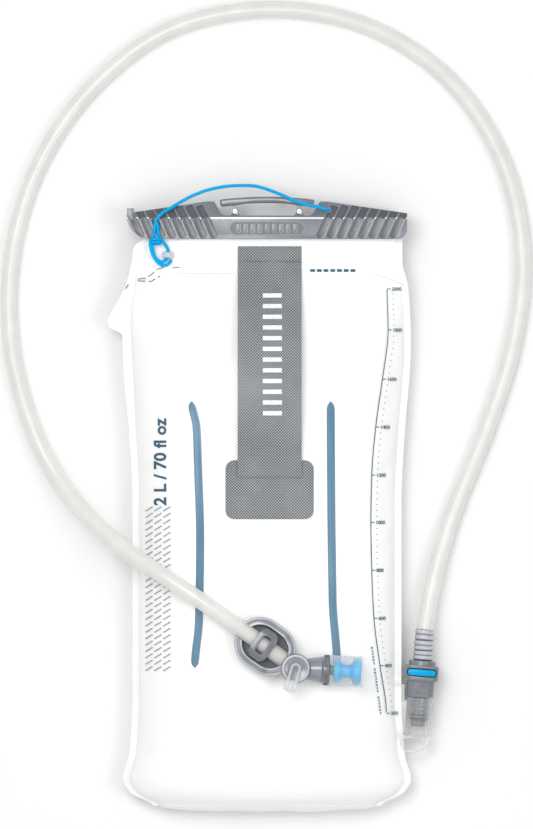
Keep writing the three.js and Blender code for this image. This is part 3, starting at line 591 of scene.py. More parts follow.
FILMS = [film_look("film_milky", (250, 251, 250), (254, 254, 253)),
         film_look("film_weld", (236, 237, 236), (244, 244, 243))]
GREY = moulded_look("grey", (108, 112, 120), (119, 123, 131), 0.3, 0.00004)
GREY_GLOSS = moulded_look("grey_gloss", (102, 106, 114), (114, 118, 126), 0.16)
# Light grey painted on the hose's ribs: a painted highlight.
PAINTED_RIB_HIGHLIGHT = moulded_look("painted_rib_highlight", (172, 175, 180), (192, 194, 199), 0.2)
# Lighter grey of the valve cap and hub and the clip's rim hollow: partly their own tone, partly a painted
# highlight.
CAP_GREY = moulded_look("cap_grey", (126, 130, 138), (142, 146, 153), 0.14)
# Dark grey painted into slots, gaps, hollows and floors: painted shade.
PAINTED_SHADE = moulded_look("recess", (74, 78, 85), (88, 92, 99), 0.34, 0.00004)
# Near white painted along the slider's crease: a painted highlight.
PAINTED_CREASE_HIGHLIGHT = moulded_look("painted_crease_highlight", (226, 228, 231), (240, 241, 243), 0.2)
# Light grey painted on rounded edges, lips and rims: painted highlights.
PAINTED_EDGE_HIGHLIGHT = moulded_look("rim", (176, 179, 184), (200, 202, 206), 0.2)
SLIDE_BLUE = moulded_look("blue", (0, 152, 212), (0, 168, 224), 0.3, 0.00004, 0.15)
CLEAR = clear_look("clear_moulding", (230, 232, 232), 0.1, 0.6, 0.06)
LOOP_CLEAR = clear_look("clear_loop", (234, 234, 232), 0.55, 0.8, 0.2)
LEVER_CLEAR = clear_look("clear_lever", (214, 217, 220), 0.5, 0.9, 0.08)
COVER_CLEAR = clear_look("clear_cover", (240, 244, 246), 0.1, 0.58, 0.04)
TUBE_CLEAR = clear_look("tube_clear", (250, 249, 246), 0.5, 0.86, 0.12, 0.02)
SOFT_CLEAR = clear_look("soft_clear", (238, 240, 240), 0.45, 0.85, 0.3)
WEBBING = weave_look("webbing_grey", (82, 87, 91), (186, 190, 192), 0.00118)
BRAID = braid_look()
STEEL = wire_look()
SILICONE = Look("silicone_blue", 0.3, Specular_IOR_Level=0.3).grained(
    (4, 166, 222), (24, 190, 238), (140,), (1200, 2, 0.00004))
RUBBER = Look("seal_rubber", 0.55).grained((38, 40, 44), (58, 60, 64), (400,), (1800, 2, 0.00003))
STRIP = Look("weld_strip_blue", 0.38, Coat_Weight=0.2).grained(
    (66, 112, 140), (86, 130, 156), (260, 3, (1.0, 0.12, 1.0)), (1300, 2, 0.00008, 0.6))
INK = ink_look("ink_teal", (36, 78, 98))
INK_LIGHT = ink_look("ink_teal_light", (98, 130, 145))
INK_FAINT = ink_look("ink_grey", (148, 154, 160))
INK_WHITE = ink_look("ink_white", (226, 229, 230))
THREAD = ink_look("thread_dark", (74, 78, 82))
# Looks by face index: the plastic, painted shade, painted edge highlights and a painted crease highlight.
GREYS = [GREY, PAINTED_SHADE, PAINTED_EDGE_HIGHLIGHT, PAINTED_CREASE_HIGHLIGHT]
# The cap grey, painted shade and painted edge highlights; the clip adds its glossy grey.
CAPS = [CAP_GREY, PAINTED_SHADE, PAINTED_EDGE_HIGHLIGHT]
CLIPS = [*CAPS, GREY_GLOSS]


# ---- camera, light and floor ----


def add_camera():
    data = bpy.data.cameras.new("camera")
    data.lens = LENS
    data.sensor_width = SENSOR
    data.clip_end = 50
    camera = linked("camera", data)
    camera.location = metres((*VIEW_CENTRE, VIEW_HEIGHT * LENS / SENSOR + NECK_Z))
    bpy.context.scene.camera = camera


def add_light(name, at, size, power):
    """A round light, in metres and watts, aimed at the middle of the object."""
    data = bpy.data.lights.new(name, "AREA")
    data.shape = "DISK"
    data.size = size
    data.energy = power
    light = linked(name, data)
    light.location = at
    light.rotation_euler = (Vector((0, 0.05, 0)) - Vector(at)).to_track_quat("-Z", "Y").to_euler()


def add_floor():
    """A plain white table top, whose edge is far outside the view."""
    corners = rectangle(-FLOOR_HALF, -FLOOR_HALF, FLOOR_HALF, FLOOR_HALF)
    floor = shape([(x, y, -GAP) for x, y in corners], [(0, 1, 2, 3)], "floor")
    look = Look("floor_white", 0.7, Specular_IOR_Level=0.1)
    look.tint(look.ramp(look.noise(3, 2), 0.3, 0.7), (237, 237, 237), (240, 240, 240))
    dress(moved(floor, Matrix.Scale(MM, 4)), look.material)


def add_world():
    """A soft white tent that darkens towards the horizon."""
    world = bpy.data.worlds.new("studio")
    world.use_nodes = True
    tree = world.node_tree
    height = tree.nodes.new("ShaderNodeSeparateXYZ")
    tree.links.new(tree.nodes.new("ShaderNodeTexCoord").outputs["Generated"], height.inputs[0])
    tone = tree.nodes.new("ShaderNodeMapRange")
    for key, value in {"From Min": 0.1, "From Max": 0.8, "To Min": 0.42}.items():
        tone.inputs[key].default_value = value
    tree.links.new(height.outputs["Z"], tone.inputs["Value"])
    tree.links.new(tone.outputs[0], tree.nodes["Background"].inputs["Color"])
    tree.nodes["Background"].inputs["Strength"].default_value = 0.83
    bpy.context.scene.world = world


add_camera()
add_floor()
add_world()
add_light("key", (-0.35, 0.4, 1.7), 0.9, 12)
add_light("fill", (0.8, -0.1, 1.4), 0.7, 4)
bpy.context.scene.view_settings.view_transform = "Standard"


# ---- cords ----

tube_path = curve_through(ROUTE, 3)
tube = finished(pipe_mesh(tube_path, TUBE_R, TUBE_BORE), "tube", TUBE_CLEAR, "hose", "tube_clear",
                "drink_tube", sharp=60)

# The tether runs from its stopper in the slider to its hitch, and its loop goes through the tab.
tether_path = curve_through(TETHER, 0.8)
tether = finished(cord_mesh(tether_path, CORD_R), "tether", BRAID, None, "elastic_cord",
                  "tether_cord", "tether_loop", sharp=60)
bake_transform(tether)


# ---- the bag ----


def edge_at(x, y):
    """How far the film reaches from the middle, with its flange."""
    return through(LEFT_EDGE if x < 0 else RIGHT_EDGE, y)


def body_at(x, y):
    """How far the swelling part of the film reaches."""
    return through(LEFT_BODY if x < 0 else RIGHT_EDGE, y) - FLANGE


def strip_x(side, y):
    return through(LEFT_STRIP if side < 0 else RIGHT_STRIP, y)


def ripple(x, y, across, along, seed):
    """Smooth folds, about -1 to 1, with that wavelength in X and in Y."""
    return noise.noise(Vector((x / across, y / along, seed))) * 1.6


def relief(x, y):
    """How far the front film stands above or below its plain crown."""
    edge = abs(x) / body_at(x, y)
    near_seam = smooth(0.72, 0.95, edge)
    neck = smooth(88, 132, y) * (1 - smooth(NECK_Y - 2, NECK_Y + 6, y))
    base = 1 - smooth(-168, -138, y)
    sides = smooth(0.3, 0.75, edge)
    fold = 1.1 * near_seam * ripple(x, y, 60, 11, 3.1) + 1.3 * neck * ripple(x, y, 15, 70, 7.7)
    fold += base * ripple(x, y, 17, 45, 1.3) + 0.5 * sides * ripple(x, y, 26, 48, 9.2)
    fold += 0.25 * ripple(x, y, 55, 60, 5.5)
    b = BAFFLE
    welded = smooth(b.y0 - 8, b.y0 + 4, y) * (1 - smooth(b.y1 - 4, b.y1 + 8, y))
    for side in (-1, 1):
        fold -= b.groove * welded * exp(-((x - strip_x(side, y)) / b.spread) ** 2)
    return fold + 0.7 * exp(-((y - NECK_Y) / 0.9) ** 2)


def port_swell(x, y):
    """How far the films part round the outlet port's fin."""
    return 2.9 * smooth(-137, -131, y) * (1 - smooth(-107, -101, y)) * smooth(40, 68, x)


def front_z(x, y):
    """The front film's outer height."""
    a = min(1, abs(x) / body_at(x, y))
    low = through(SEAM, y) + LAP + port_swell(x, y)
    dome = max(0, 1 - a ** 3.4) ** 0.66
    return mix(low, through(CROWN, y), dome) + relief(x, y) * (1 - smooth(0.93, 1, a))


def back_z(x, y):
    """The back film's outer height, flat where it lies on the table."""
    a = min(1, abs(x) / body_at(x, y))
    low = through(SEAM, y) - LAP - port_swell(x, y)
    belly = min(1, 1.3 * max(0, 1 - a ** 4) ** 0.6)
    lifted = 0.5 * smooth(0.5, 0.9, a) * (1 + ripple(x, y, 30, 14, 4.4))
    return mix(low, through(FLOOR, y), belly) + lifted * (1 - smooth(0.93, 1, a))


def flange(side, y, up):
    """Points across the welded edge, from its rim inwards, with a slight flutter."""
    reach = body_at(side, y)
    seam = through(SEAM, y) + up * (LAP + port_swell(side * reach, y))
    made = []
    for step in (1.0, 0.75, 0.5, 0.25):
        x = side * mix(reach, edge_at(side, y), step)
        flutter = 0.12 * ripple(x * 0.1, y, 40, 9, 6.6 if x < 0 else 2.2)
        made.append((x, y, seam + up * flutter * step))
    return made


def across_bag(y, count):
    """Places across the bag's body, closer together towards its edges."""
    us = [2 * t - 1 for t in parts(count)]
    return [sin(pi / 2 * u) * body_at(u, y) for u in us]


def film_panel(up):
    """The front film, up 1, or the back one, up -1, with its welds marked."""
    height = front_z if up > 0 else back_z
    rows = []
    for t in parts(190):
        y = mix(BASE_Y, MOUTH_Y, t)
        inner = [(x, y, height(x, y)) for x in across_bag(y, 90)]
        rows.append([*flange(-1, y, up), *inner, *reversed(flange(1, y, up))])

    def welded(c):
        return abs(c.x) > body_at(c.x, c.y) or abs(c.y - NECK_Y) < WELD_HALF

    panel = dress(facing(shape(*skin(rows)), (0, 0, up)), FILMS)
    return thickened(indexed(panel, 1, welded))


def base_gusset():
    """The panel between the two films at the base, bulging and creased."""
    rows = []
    for t in parts(14):
        row = []
        for i, x in enumerate(across_bag(BASE_Y, 80)):
            s = i / 40 - 1
            low, high = back_z(x, BASE_Y) + 0.3, front_z(x, BASE_Y) - 0.3
            out = (BASE_BULGE + 0.5 * ripple(x, t * 30, 16, 30, 8.8)) * sin(pi * t) * (1 - s * s)
            row.append((x, BASE_Y - GAP - out, mix(low, high, t)))
        rows.append(row)
    return thickened(facing(shape(*skin(rows)), (0, -1, 0)))


def laid_strip(side):
    """A strip welded on the front film, with rounded tips."""
    b = BAFFLE
    rows = []
    for t in parts(80):
        y = mix(b.y0, b.y1, t)
        tip = min(1, min(y - b.y0, b.y1 - y) / (2.2 * b.half))
        wide = b.half * sqrt(max(0.02, 1 - (1 - tip) ** 2))
        us = [2 * u - 1 for u in parts(6)]
        row = [(u, strip_x(side, y) + wide * u) for u in us]
        top = [(x, y, front_z(x, y) + 0.04 + 0.5 * (1 - 0.4 * abs(u) ** 3)) for u, x in row]
        rows.append([*top, *((x, y, front_z(x, y) + 0.04) for u, x in reversed(row))])
    return shape(*skin(rows, around=True, ends=True))


def baffle(side):
    """A weld strip on the front film, the wall behind it and the strip on the back film."""
    rows = []
    for t in parts(40):
        y = mix(BAFFLE.y0 + 1, BAFFLE.y1 - 1, t)
        x = strip_x(side, y)
        rows.append([(a, y, z) for a, z in rectangle(x - 0.4, 1.1, x + 0.4, front_z(x, y) - 0.8)])
    wall = shape(*skin(rows, around=True, ends=True))
    ys = [mix(BAFFLE.y0, BAFFLE.y1, t) for t in parts(20)]
    outline = [(strip_x(side, y) - 2, y) for y in ys]
    outline += [(x + 4, y) for x, y in reversed(outline)]
    return merged(laid_strip(side), wall, prism(outline, 0.9, 1.2))


def tether_tab():
    """The clear arch on the neck that the tether's loop goes under."""
    inner, outer, centre = TAB.inner, TAB.inner + TAB.wall, (0, TAB.legs)
    outline = [(-outer, 0), *arc(outer, pi, 0, 16, centre), (outer, 0)]
    outline += [(inner, 0), *arc(inner, 0, pi, 16, centre), (-inner, 0)]
    arch = eased(prism(outline, -TAB.depth / 2, TAB.depth / 2, "y"), 0.35)
    return shifted(merged(arch, slab(8, 5, 2.2, 0, 0.3)), TAB.x, TAB.y, TAB.z)


def film_piece(obj, name, node):
    return finished(obj, name, FILMS, "reservoir", "film", node, sharp=70)


film_front = film_piece(film_panel(1), "film_front", "front_panel")
film_piece(film_panel(-1), "film_back", "back_panel")
film_piece(base_gusset(), "film_base", "base_gusset")
for side, word in ((-1, "left"), (1, "right")):
    finished(baffle(side), "baffle_weld_" + word, STRIP, "reservoir", "weld_strip", "baffle_" + word,
             sharp=50)
finished(tether_tab(), "tab", SOFT_CLEAR, "reservoir", "soft_clear", "tether_tab")


# ---- strap and patch ----


def cornered(x, y, s):
    """A point of a rectangle moved so that its corners become round."""
    cx = min(max(x, s.x0 + s.corner), s.x1 - s.corner)
    cy = min(max(y, s.y0 + s.corner), s.y1 - s.corner)
    u, v = (x - cx) / s.corner, (y - cy) / s.corner
    return cx + s.corner * u * sqrt(1 - v * v / 2), cy + s.corner * v * sqrt(1 - u * u / 2)


def cloth(s, lift, columns, count):
    """A strip of cloth over the front film, lifted by a function of how far along it is."""

    def place(across, along, up):
        x, y = mix(s.x0, s.x1, across), mix(s.y0, s.y1, along)
        if s.corner:
            x, y = cornered(x, y, s)
        edge = min(x - s.x0, s.x1 - x, y - s.y0, s.y1 - y)
        soft = s.thick * (0.55 + 0.45 * smooth(0, 0.9, edge))
        return (x, y, front_z(x, y) + lift((y - s.y0) / (s.y1 - s.y0)) + (soft if up else 0))

    rows = []
    for t in parts(count):
        top = [place(u, t, True) for u in parts(columns)]
        rows.append(top + [place(u, t, False) for u in reversed(parts(columns))])
    return shape(*skin(rows, around=True, ends=True))


def strap_lift(t):
    """The strap's rise above the film, from its foot, 0, to its hem, 1."""
    settle = 1 - smooth(0.86, 0.94, t)
    bow = STRAP.bow * max(0, sin(pi * min(1, t * 1.06))) ** 1.5
    return 0.5 + (STRAP.lift - 1.2 * t + bow - 0.5) * settle


def strap_z(x, y):
    """The top of the strap."""
    return front_z(x, y) + strap_lift((y - STRAP.y0) / (STRAP.y1 - STRAP.y0)) + STRAP.thick


def hem_stitches():
    """A row of short raised stitches across the strap's hem."""
    made = []
    xs = [mix(STRAP.x0 + 0.6, STRAP.x1 - 0.6, t) for t in parts(39)]
    for pair in zip(xs[::2], xs[1::2]):
        a, b = (Vector((x, HEM_Y, strap_z(x, HEM_Y) + 0.12)) for x in pair)
        made.append(cord_mesh([a, (a + b) / 2 + Vector((0, 0, 0.12)), b], 0.24, 8))
    return merged(*made)


strap = finished(cloth(STRAP, strap_lift, 16, 90), "strap", WEBBING, "reservoir", "webbing",
                 "carry_strap", sharp=60)
patch = finished(cloth(PATCH, lambda t: PATCH.lift, 24, 18), "strap_patch", WEBBING, "reservoir", "webbing",
                 "strap_anchor_patch", sharp=60)
finished(hem_stitches(), "hem_stitches", THREAD, "reservoir", "webbing", sharp=60)


# ---- the slide clamp ----


def corner_cut(x, radius):
    """What lies outside a rounded lower corner of the slider."""
    inward = -1 if x > 0 else 1
    y = SLIDER.y0
    outline = [(x - inward, y - 1), (x + inward * radius, y - 1)]
    outline += arc(radius, -pi / 2, -pi if inward > 0 else 0, 12, (x + inward * radius, y + radius))
    return prism([*outline, (x - inward, y + radius)], -9, 9)


def grip_slot(side, i):
    """One slanting recess, up the front face and on over the roof."""
    s, g = SLIDER, GRIP
    x = side * (g.first + i * g.pitch)
    lean = Matrix.Rotation(-side * g.lean, 4, "Z")
    length = s.crease - s.y0 - 2.6
    face = slab(g.width, length + 4, g.width / 2 - 0.05, s.depth - g.depth, s.depth + 4)
    shifted(face, 0, length / 2 - 2)
    moved(face, Matrix.Translation((x, s.y0 + 4, 0)) @ lean)
    pitch = atan2(s.depth - s.ridge_half, s.ridge - s.crease)
    shift = side * tan(g.lean) * (s.crease - s.y0 - 2.2)
    corner = Matrix.Translation((x + shift, s.crease + 0.4, s.depth)) @ Matrix.Rotation(-pitch, 4, "X")
    roof = slab(g.width, 9, 0.6, -0.9 * g.depth, 4)
    return [face, moved(roof, corner @ lean @ Matrix.Translation((0, 4.2, 0)))]


def slider_clamp():
    """The bar with its channel, cut-out and recesses, and the hook at its end."""
    s = SLIDER
    section = [(s.y0, -s.depth), (s.y0, s.depth), (s.crease - s.flat, s.depth),
               (s.crease + s.flat, s.depth - s.flat / 2), (s.ridge, s.ridge_half),
               (s.ridge, -s.ridge_half), (s.crease, -s.depth)]
    bar = dress(prism(section, -s.half, s.half, "x"), GREYS)
    channel = [(s.y0 - 1, s.throat), (s.lip_top, s.throat), (s.lip_top, s.cavity), (s.cavity_top, s.cavity)]
    channel += [(y, -z) for y, z in reversed(channel)]
    above = s.ridge + 5
    notch = [(-CUTOUT.bottom, CUTOUT.y), (CUTOUT.bottom, CUTOUT.y), (CUTOUT.top, above), (-CUTOUT.top, above)]
    cutters = [prism(channel, s.closed_to, s.half + 1, "x"), prism(filleted(notch, 2.5), -9, 9)]
    for side in (-1, 1):
        inner, outer = side * WING.inner, side * (s.half + 1)
        wing = [(inner, s.ridge + 0.3), (outer, WING.outer_ridge), (outer, above), (inner, above)]
        cutters.append(prism(wing, -9, 9))
        for i in range(GRIP.count):
            # The slots' walls and floors are painted dark grey as shade.
            cutters += [dress(indexed(slot, 1), GREYS) for slot in grip_slot(side, i)]
    carved(bar, *cutters, corner_cut(-s.half, 14), corner_cut(s.half, 6), rod("z", -9, 9, 1.4, TETHER_HOLE))
    hook = block((-s.half, s.crease - 1, 1 - s.depth), (4 - s.half, 172, s.depth - 1))
    # The rounded edges are painted lighter as highlights.
    eased(fused(bar, hook), 0.4, material=2)
    # The crease along the top of the front face is painted near white as a highlight.
    return indexed(bar, 3, lambda c: abs(c.y - s.crease) < s.flat and s.depth - s.flat < c.z < s.depth)


def slider_relief():
    """Plain raised bars with painted-highlight edges, on a plate painted dark as shade, in an outline."""
    plate = indexed(slab(42.8, 7.2, 3.5, -0.4, 0.06), 1)
    bars = [carved(slab(44, 8.4, 4.1, -0.4, 0.3), slab(42.6, 7, 3.4, -1, 1))]
    for i in range(RELIEF.bars):
        x = (i - RELIEF.bars // 2) * RELIEF.pitch
        bars.append(eased(dress(slab(2.6, 5.2, 1.1, -0.4, 0.7, (x, 0, 0)), GREYS), 0.25, material=2))
    return shifted(merged(plate, *bars), 0, RELIEF.y, SLIDER.depth)


def lugs():
    """Two pairs of ears that hold the hanger's pins."""
    ears = []
    y = CUTOUT.y - 0.5
    for x in (-LUG.x, LUG.x):
        for z in (-LUG.ear_z, LUG.ear_z):
            outline = [(x - 3, y), (x + 3, y), (x + 1.8, y + 4.1), (x - 1.8, y + 4.1)]
            ear = prism(filleted(outline, 0.9), z - LUG.thick / 2, z + LUG.thick / 2)
            ears.append(eased(carved(ear, rod("z", -5, 5, LUG.pin_r + GAP, (x, LUG.pin_y))), 0.15))
    return merged(*ears)


def hanger_bar():
    """The arched bar, thicker and rounded at its ends, with a tongue to each pin."""
    h = HANGER

    def arch(x):
        return h.top - h.sag * (x / h.half) ** 2

    def under(x):
        return arch(x) - h.thick * (0.86 + 0.14 * smooth(0.4, 0.7, abs(x) / h.half))

    xs = [h.half * (2 * t - 1) for t in parts(24)]
    outline = [(x, arch(x)) for x in xs] + [(0.96 * x, under(0.96 * x)) for x in reversed(xs)]
    bar = eased(dress(prism(outline, -h.depth, h.depth), [GREY_GLOSS]), 1.1, 3)
    for x in (-LUG.x, LUG.x):
        foot = rectangle(x - h.neck, LUG.pin_y - 1.9, x + h.neck, arch(x) - h.thick + 1.2)
        hole = rod("z", -5, 5, LUG.pin_r + GAP / 2, (x, LUG.pin_y))
        fused(bar, carved(prism(filleted(foot, 0.7), -0.9, 0.9), hole))
    return bar


def hanger_pin(x):
    """A hollow rivet with a small flange at each end."""
    r = LUG.pin_r
    upper = [(r, 2.7), (r + 0.05, 2.9), (r + 0.05, 3.2), (0.55, 3.2)]
    pin = lathe([*upper, *((a, -h) for a, h in reversed(upper))], "z", 24)
    return shifted(pin, x, LUG.pin_y)


def slider_piece(obj, name, look, *nodes):
    finished(obj, name, look, "slider", "hard_grey", *nodes, place=SLIDER_FRAME)


slider_piece(slider_clamp(), "slide_clamp", GREYS, "slider_clamp")
slider_piece(slider_relief(), "slide_relief", GREYS)
slider_piece(lugs(), "slide_lugs", GREY_GLOSS)
slider_piece(hanger_bar(), "hanger", GREY_GLOSS, "hanger_bar")
for side, word in ((-1, "left"), (1, "right")):
    finished(hanger_pin(side * LUG.x), "hanger_rivet_" + word, STEEL, "slider", "pin_steel",
             "hanger_pin_" + word, place=SLIDER_FRAME)


# ---- tether knot ----


def knot():
    """Two turns of cord round both strands, and the strand that doubles the loop."""
    made = [cord_mesh(curve_through(SECOND_STRAND, 0.8), CORD_R)]
    for drop in (0, 1.7):
        path = [KNOT + Vector((1 + 2.6 * c, 0.5 * s - drop, 1.75 * s)) for c, s in circle(1, 24)]
        rows = rings(path, 0.85, 12)
        made.append(shape(*skin([*rows, rows[0]], around=True)))
    return merged(*made)


finished(knot(), "tether_knot", BRAID, "reservoir", "elastic_cord", sharp=60)


# ---- the quick coupling ----


def outlet_port():
    """The clear socket with its fin between the films and its finger loop."""
    p = PORT
    level = COUPLING_FRAME.inverted() @ Matrix.Translation((0, 0, PORT_Z))
    fin = eased(block((70, -132.4, -3.4), (84, -113.1, 3.4)), 0.8, 3)
    tongue = block((70.6, -114.1, -2.8), (79.8, -104, 2.8))
    loop = eased(prism(filleted(FINGER_LOOP, 2.5), -2, 2), 0.8, 3)
    profile = [(0, -p.depth), (p.r - 1.2, -p.depth), (p.r, -p.depth + 1.2), (p.r, -0.8), (p.r - 0.4, 0),
               (0, 0)]
    socket = dress(lathe(profile, sides=64), [CLEAR, LOOP_CLEAR])
    fused(socket, *(moved(piece, level) for piece in (fin, tongue, loop)))
    bore = rod("y", -p.bore_depth, 1, p.bore)
    chamber = rod("y", -p.chamber_depth, -p.bore_depth + 1, p.chamber)
    carved(socket, bore, chamber, moved(prism(filleted(FINGER_HOLE, 2.4), -9, 9), level))
    return indexed(socket, 1, lambda c: c.y < -p.depth - 0.1 or c.x < -p.r - 0.5)


def cartridge():
    """The grey valve cartridge: ribs above, two seal grooves below, and the stem."""
    profile = [(3.6, 1.5), (3.6, -15.8), (2.2, -15.8), (2.2, -16.6), (4.0, -16.6), (4.2, -16.3), (4.6, -13.4)]
    for y in (-12.1, -9.9):
        profile += [(6.1, y - 0.8), (4.95, y - 0.75), (4.95, y + 0.75), (6.1, y + 0.8)]
    for y in (-7.6, -5.2, -2.8):
        profile += [(6.1, y - 0.5), (5.7, y - 0.25), (5.7, y + 0.25), (6.1, y + 0.5)]
    profile += [(6.1, -0.4), (4.6, -0.4), (4.6, 4.8), (3.9, 4.8), (3.9, 6.2), (4.6, 6.2), (4.6, 13),
                (3.8, 13.2), (3.8, 15.8), (4.6, 16), (4.1, 17), (2.4, 17), (2.4, 3)]
    return lathe(profile)


def coupler_body():
    """The coupler: a tapered grip, a wider head with the button's pocket, a flange and a barb."""
    c = COUPLER
    body = dress(slab(c.body_w, c.body_d, c.corner, GAP, c.head_y0 + 1, axis="y"), GREYS)
    for vertex in body.data.vertices:
        vertex.co.x *= 1 - 0.045 * (1 - smooth(0, 9, vertex.co.y))
    head = slab(c.head_w, c.head_d, c.corner, c.head_y0, c.head_y1, axis="y")
    flange_ring = lathe([(0, c.head_y1 - 1), (c.collar_r, c.head_y1 - 1), (c.collar_r, c.collar_top - 0.6),
                         (c.collar_r - 0.5, c.collar_top), (0, c.collar_top)])
    fused(eased(body, 0.9, 3), eased(head, 0.9, 3), flange_ring)
    # The pocket is wider than the button, and its walls are painted dark as shade in the gap.
    pocket = slab(BUTTON.width + 1.3, BUTTON.height + 1.3, 2.2, BUTTON.floor, 12, (0, BUTTON.y, 0))
    dress(indexed(pocket, 1), GREYS)
    carved(body, rod("y", -1, c.socket_depth, c.socket), pocket, rod("y", c.socket_depth - 1, 23, 2))
    barb = [(2, 20.6), (2.85, 20.6)]
    for y in (22.2, 24.8, 27.4, 30):
        barb += [(2.5, y), (3.05, y + 0.3), (2.5, y + 2.3)]
    # The body's rounded edges are painted lighter as highlights.
    return merged(eased(body, 0.3, material=2), lathe([*barb, (2.5, 33), (2, 33)], sides=32))


def thumb_relief():
    """A plain raised ring on the grip, under the thumb."""
    ring = carved(slab(7, 5.6, 2.7, 7.3, 7.75), slab(5.6, 4.2, 2.0, 7, 8))
    return shifted(eased(ring, 0.12), 0, 5.4)


def release_button():
    b = BUTTON
    return eased(slab(b.width, b.height, 1.75, b.z0, b.z1, (0, b.y, 0)), 0.45, 3)


def button_coil():
    """The coil spring under the button."""
    path = []
    for t in parts(96):
        turn = 2 * pi * COIL.turns * t
        x, y = COIL.x + COIL.r * cos(turn), BUTTON.y + COIL.r * sin(turn)
        path.append(Vector((x, y, COIL.z0 + COIL.height * t)))
    return cord_mesh(path, COIL.wire, 8)


def ribbed_sleeve():
    """The ribbed end of the hose, whose ribs narrow away from the coupler, with painted highlight and shade.
    """
    route = curve_through(ROUTE[:4], 0.35)
    start = route[0] - (route[1] - route[0]).normalized() * 0.5
    path = [start] + [p for p in route if (p - start).length < SLEEVE.length]
    total = len(path) - 1
    sides = 48

    def bulge(i):
        return max(abs(sin(pi * SLEEVE.ribs * i / total)) ** 0.6, 0.3 if i == total else 0)

    def outer(i):
        return mix(SLEEVE.thin, mix(SLEEVE.low, SLEEVE.high, i / total), bulge(i))

    sleeve = pipe_mesh(path, outer, SLEEVE.bore, sides)
    # Rib faces take the painted highlight grey, and groove faces the darker grey as painted shade.
    for face in sleeve.data.polygons:
        face.material_index = 1 if bulge(min(face.index // sides, total)) < 0.6 else 0
    return sleeve


def coupling_piece(obj, name, look, body, slot, *nodes, sharp=35):
    return finished(obj, name, look, body, slot, *nodes, place=COUPLING_FRAME, sharp=sharp)


coupling_piece(outlet_port(), "port", [CLEAR, LOOP_CLEAR], "reservoir", "clear_moulding", "outlet_port")
coupling_piece(cartridge(), "valve_cartridge", GREY_GLOSS, "reservoir", "hard_grey", "port_cartridge")
for node, radius, thick, y in (("cartridge_o_ring_upper", 5.75, 0.5, -9.9),
                               ("cartridge_o_ring_lower", 5.75, 0.5, -12.1), ("stem_o_ring", 4.45, 0.3, 5.5)):
    seal = lathe(circle(thick, 12, (radius, y)), sides=48)
    coupling_piece(seal, node + "_seal", RUBBER, "reservoir", "seal", node, sharp=60)
coupling_piece(coupler_body(), "coupler", GREYS, "hose", "hard_grey", "coupler_body")
coupling_piece(thumb_relief(), "coupler_relief", GREY_GLOSS, "hose", "hard_grey")
coupling_piece(release_button(), "coupler_button", SLIDE_BLUE, "release_button", "button_blue",
               "release_button")
coil = coupling_piece(button_coil(), "button_coil", STEEL, "hose", "spring_steel", "button_spring")
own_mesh(coil)
finished(ribbed_sleeve(), "hose_ribs", [PAINTED_RIB_HIGHLIGHT, GREY], "hose", "hard_grey", sharp=60)


# ---- the tube clip ----


def clip_frame():
    """The clip's frame, with its X along the tube and its middle on the tube's line."""
    along = Vector((cos(TUBE_TURN), sin(TUBE_TURN), 0))
    offset = Vector((CLIP.x, CLIP.y, TUBE_Z)) - TUBE_END
    return Matrix.Translation(TUBE_END + along * offset.dot(along)) @ Matrix.Rotation(TUBE_TURN, 4, "Z")


CLIP_FRAME = clip_frame()


def stadium(half, half_width):
    """The outline of a stadium, long along X, with the outward direction at each point."""
    made = []
    for side, start in ((1, -pi / 2), (-1, pi / 2)):
        for c, s in arc(1, start, start + pi, 24):
            made.append(((side * (half - half_width) + half_width * c, half_width * s), (c, s)))
    return made


def clip_rim():
    """The raised rim: rounded lips with a shallow hollow between, higher where it covers the tube."""
    c = CLIP
    rows = []
    for (x, y), (nx, ny) in stadium(c.half, c.half_width):
        top = mix(c.top, c.cover_top, smooth(c.cover_from - 3.5, c.cover_from + 1.5, x))
        lips = [(0, -1.6), (-0.35, -0.5), (-1.1, 0), (-1.8, -0.35), (-2.7, -0.8), (-3.5, -0.4), (-4.2, -0.5),
                (-4.6, -1.3)]
        profile = [(0, c.base + 0.8), *((out, top + up) for out, up in lips), (-4.6, c.floor - 0.6),
                   (-4.6, c.base), (-0.8, c.base)]
        rows.append([(x + nx * out, y + ny * out, z) for out, z in profile])
    rim = shape(*skin([*rows, rows[0]], around=True))
    # The two lips are painted lighter as highlights; the rest takes the lighter cap grey, partly a painted
    # highlight.
    for face in rim.data.polygons:
        face.material_index = 2 if face.index % len(profile) in (2, 6) else 0
    return dress(rim, CLIPS)


def tube_clip():
    """The dish, its bridge over the tube, and the channel that the tube lies in."""
    c, b = CLIP, BRIDGE
    rim = clip_rim()
    floor = prism([p for p, _ in stadium(c.half - 1, c.half_width - 1)], c.base + 0.1, c.floor)
    bridge = slab(b.across, 2 * b.top, 5, b.at - b.along / 2, b.at + b.along / 2, axis="x")
    eased(combined(bridge, [slab(b.along, b.across, 4.6, -20, 20, (b.at, 0, 0))], "INTERSECT"), 0.9, 3)
    carved(bridge, block((-20, -20, -20), (20, 20, c.floor - 0.4)))
    # The dish's floor is painted dark as shade; the bridge takes the glossy grey.
    fused(rim, dress(indexed(floor, 1), CLIPS), dress(indexed(bridge, 3), CLIPS))
    hub = CLIP_FRAME.inverted() @ VALVE_FRAME.translation
    carved(rim, rod("x", -30, 30, TUBE_R + GAP), slab(*b.window, 2, 0, 20, (b.at, 0, 0)),
           rod("z", -20, 20, HOUSING.r + 0.6, (hub.x, hub.y)))
    # The rounded edges are painted lighter as highlights.
    return eased(rim, 0.3, 2, 40, material=2)


finished(tube_clip(), "hose_clip", CLIPS, "clip", "hard_grey", "tube_clip", place=CLIP_FRAME)


# ---- the shut-off and bite valve ----


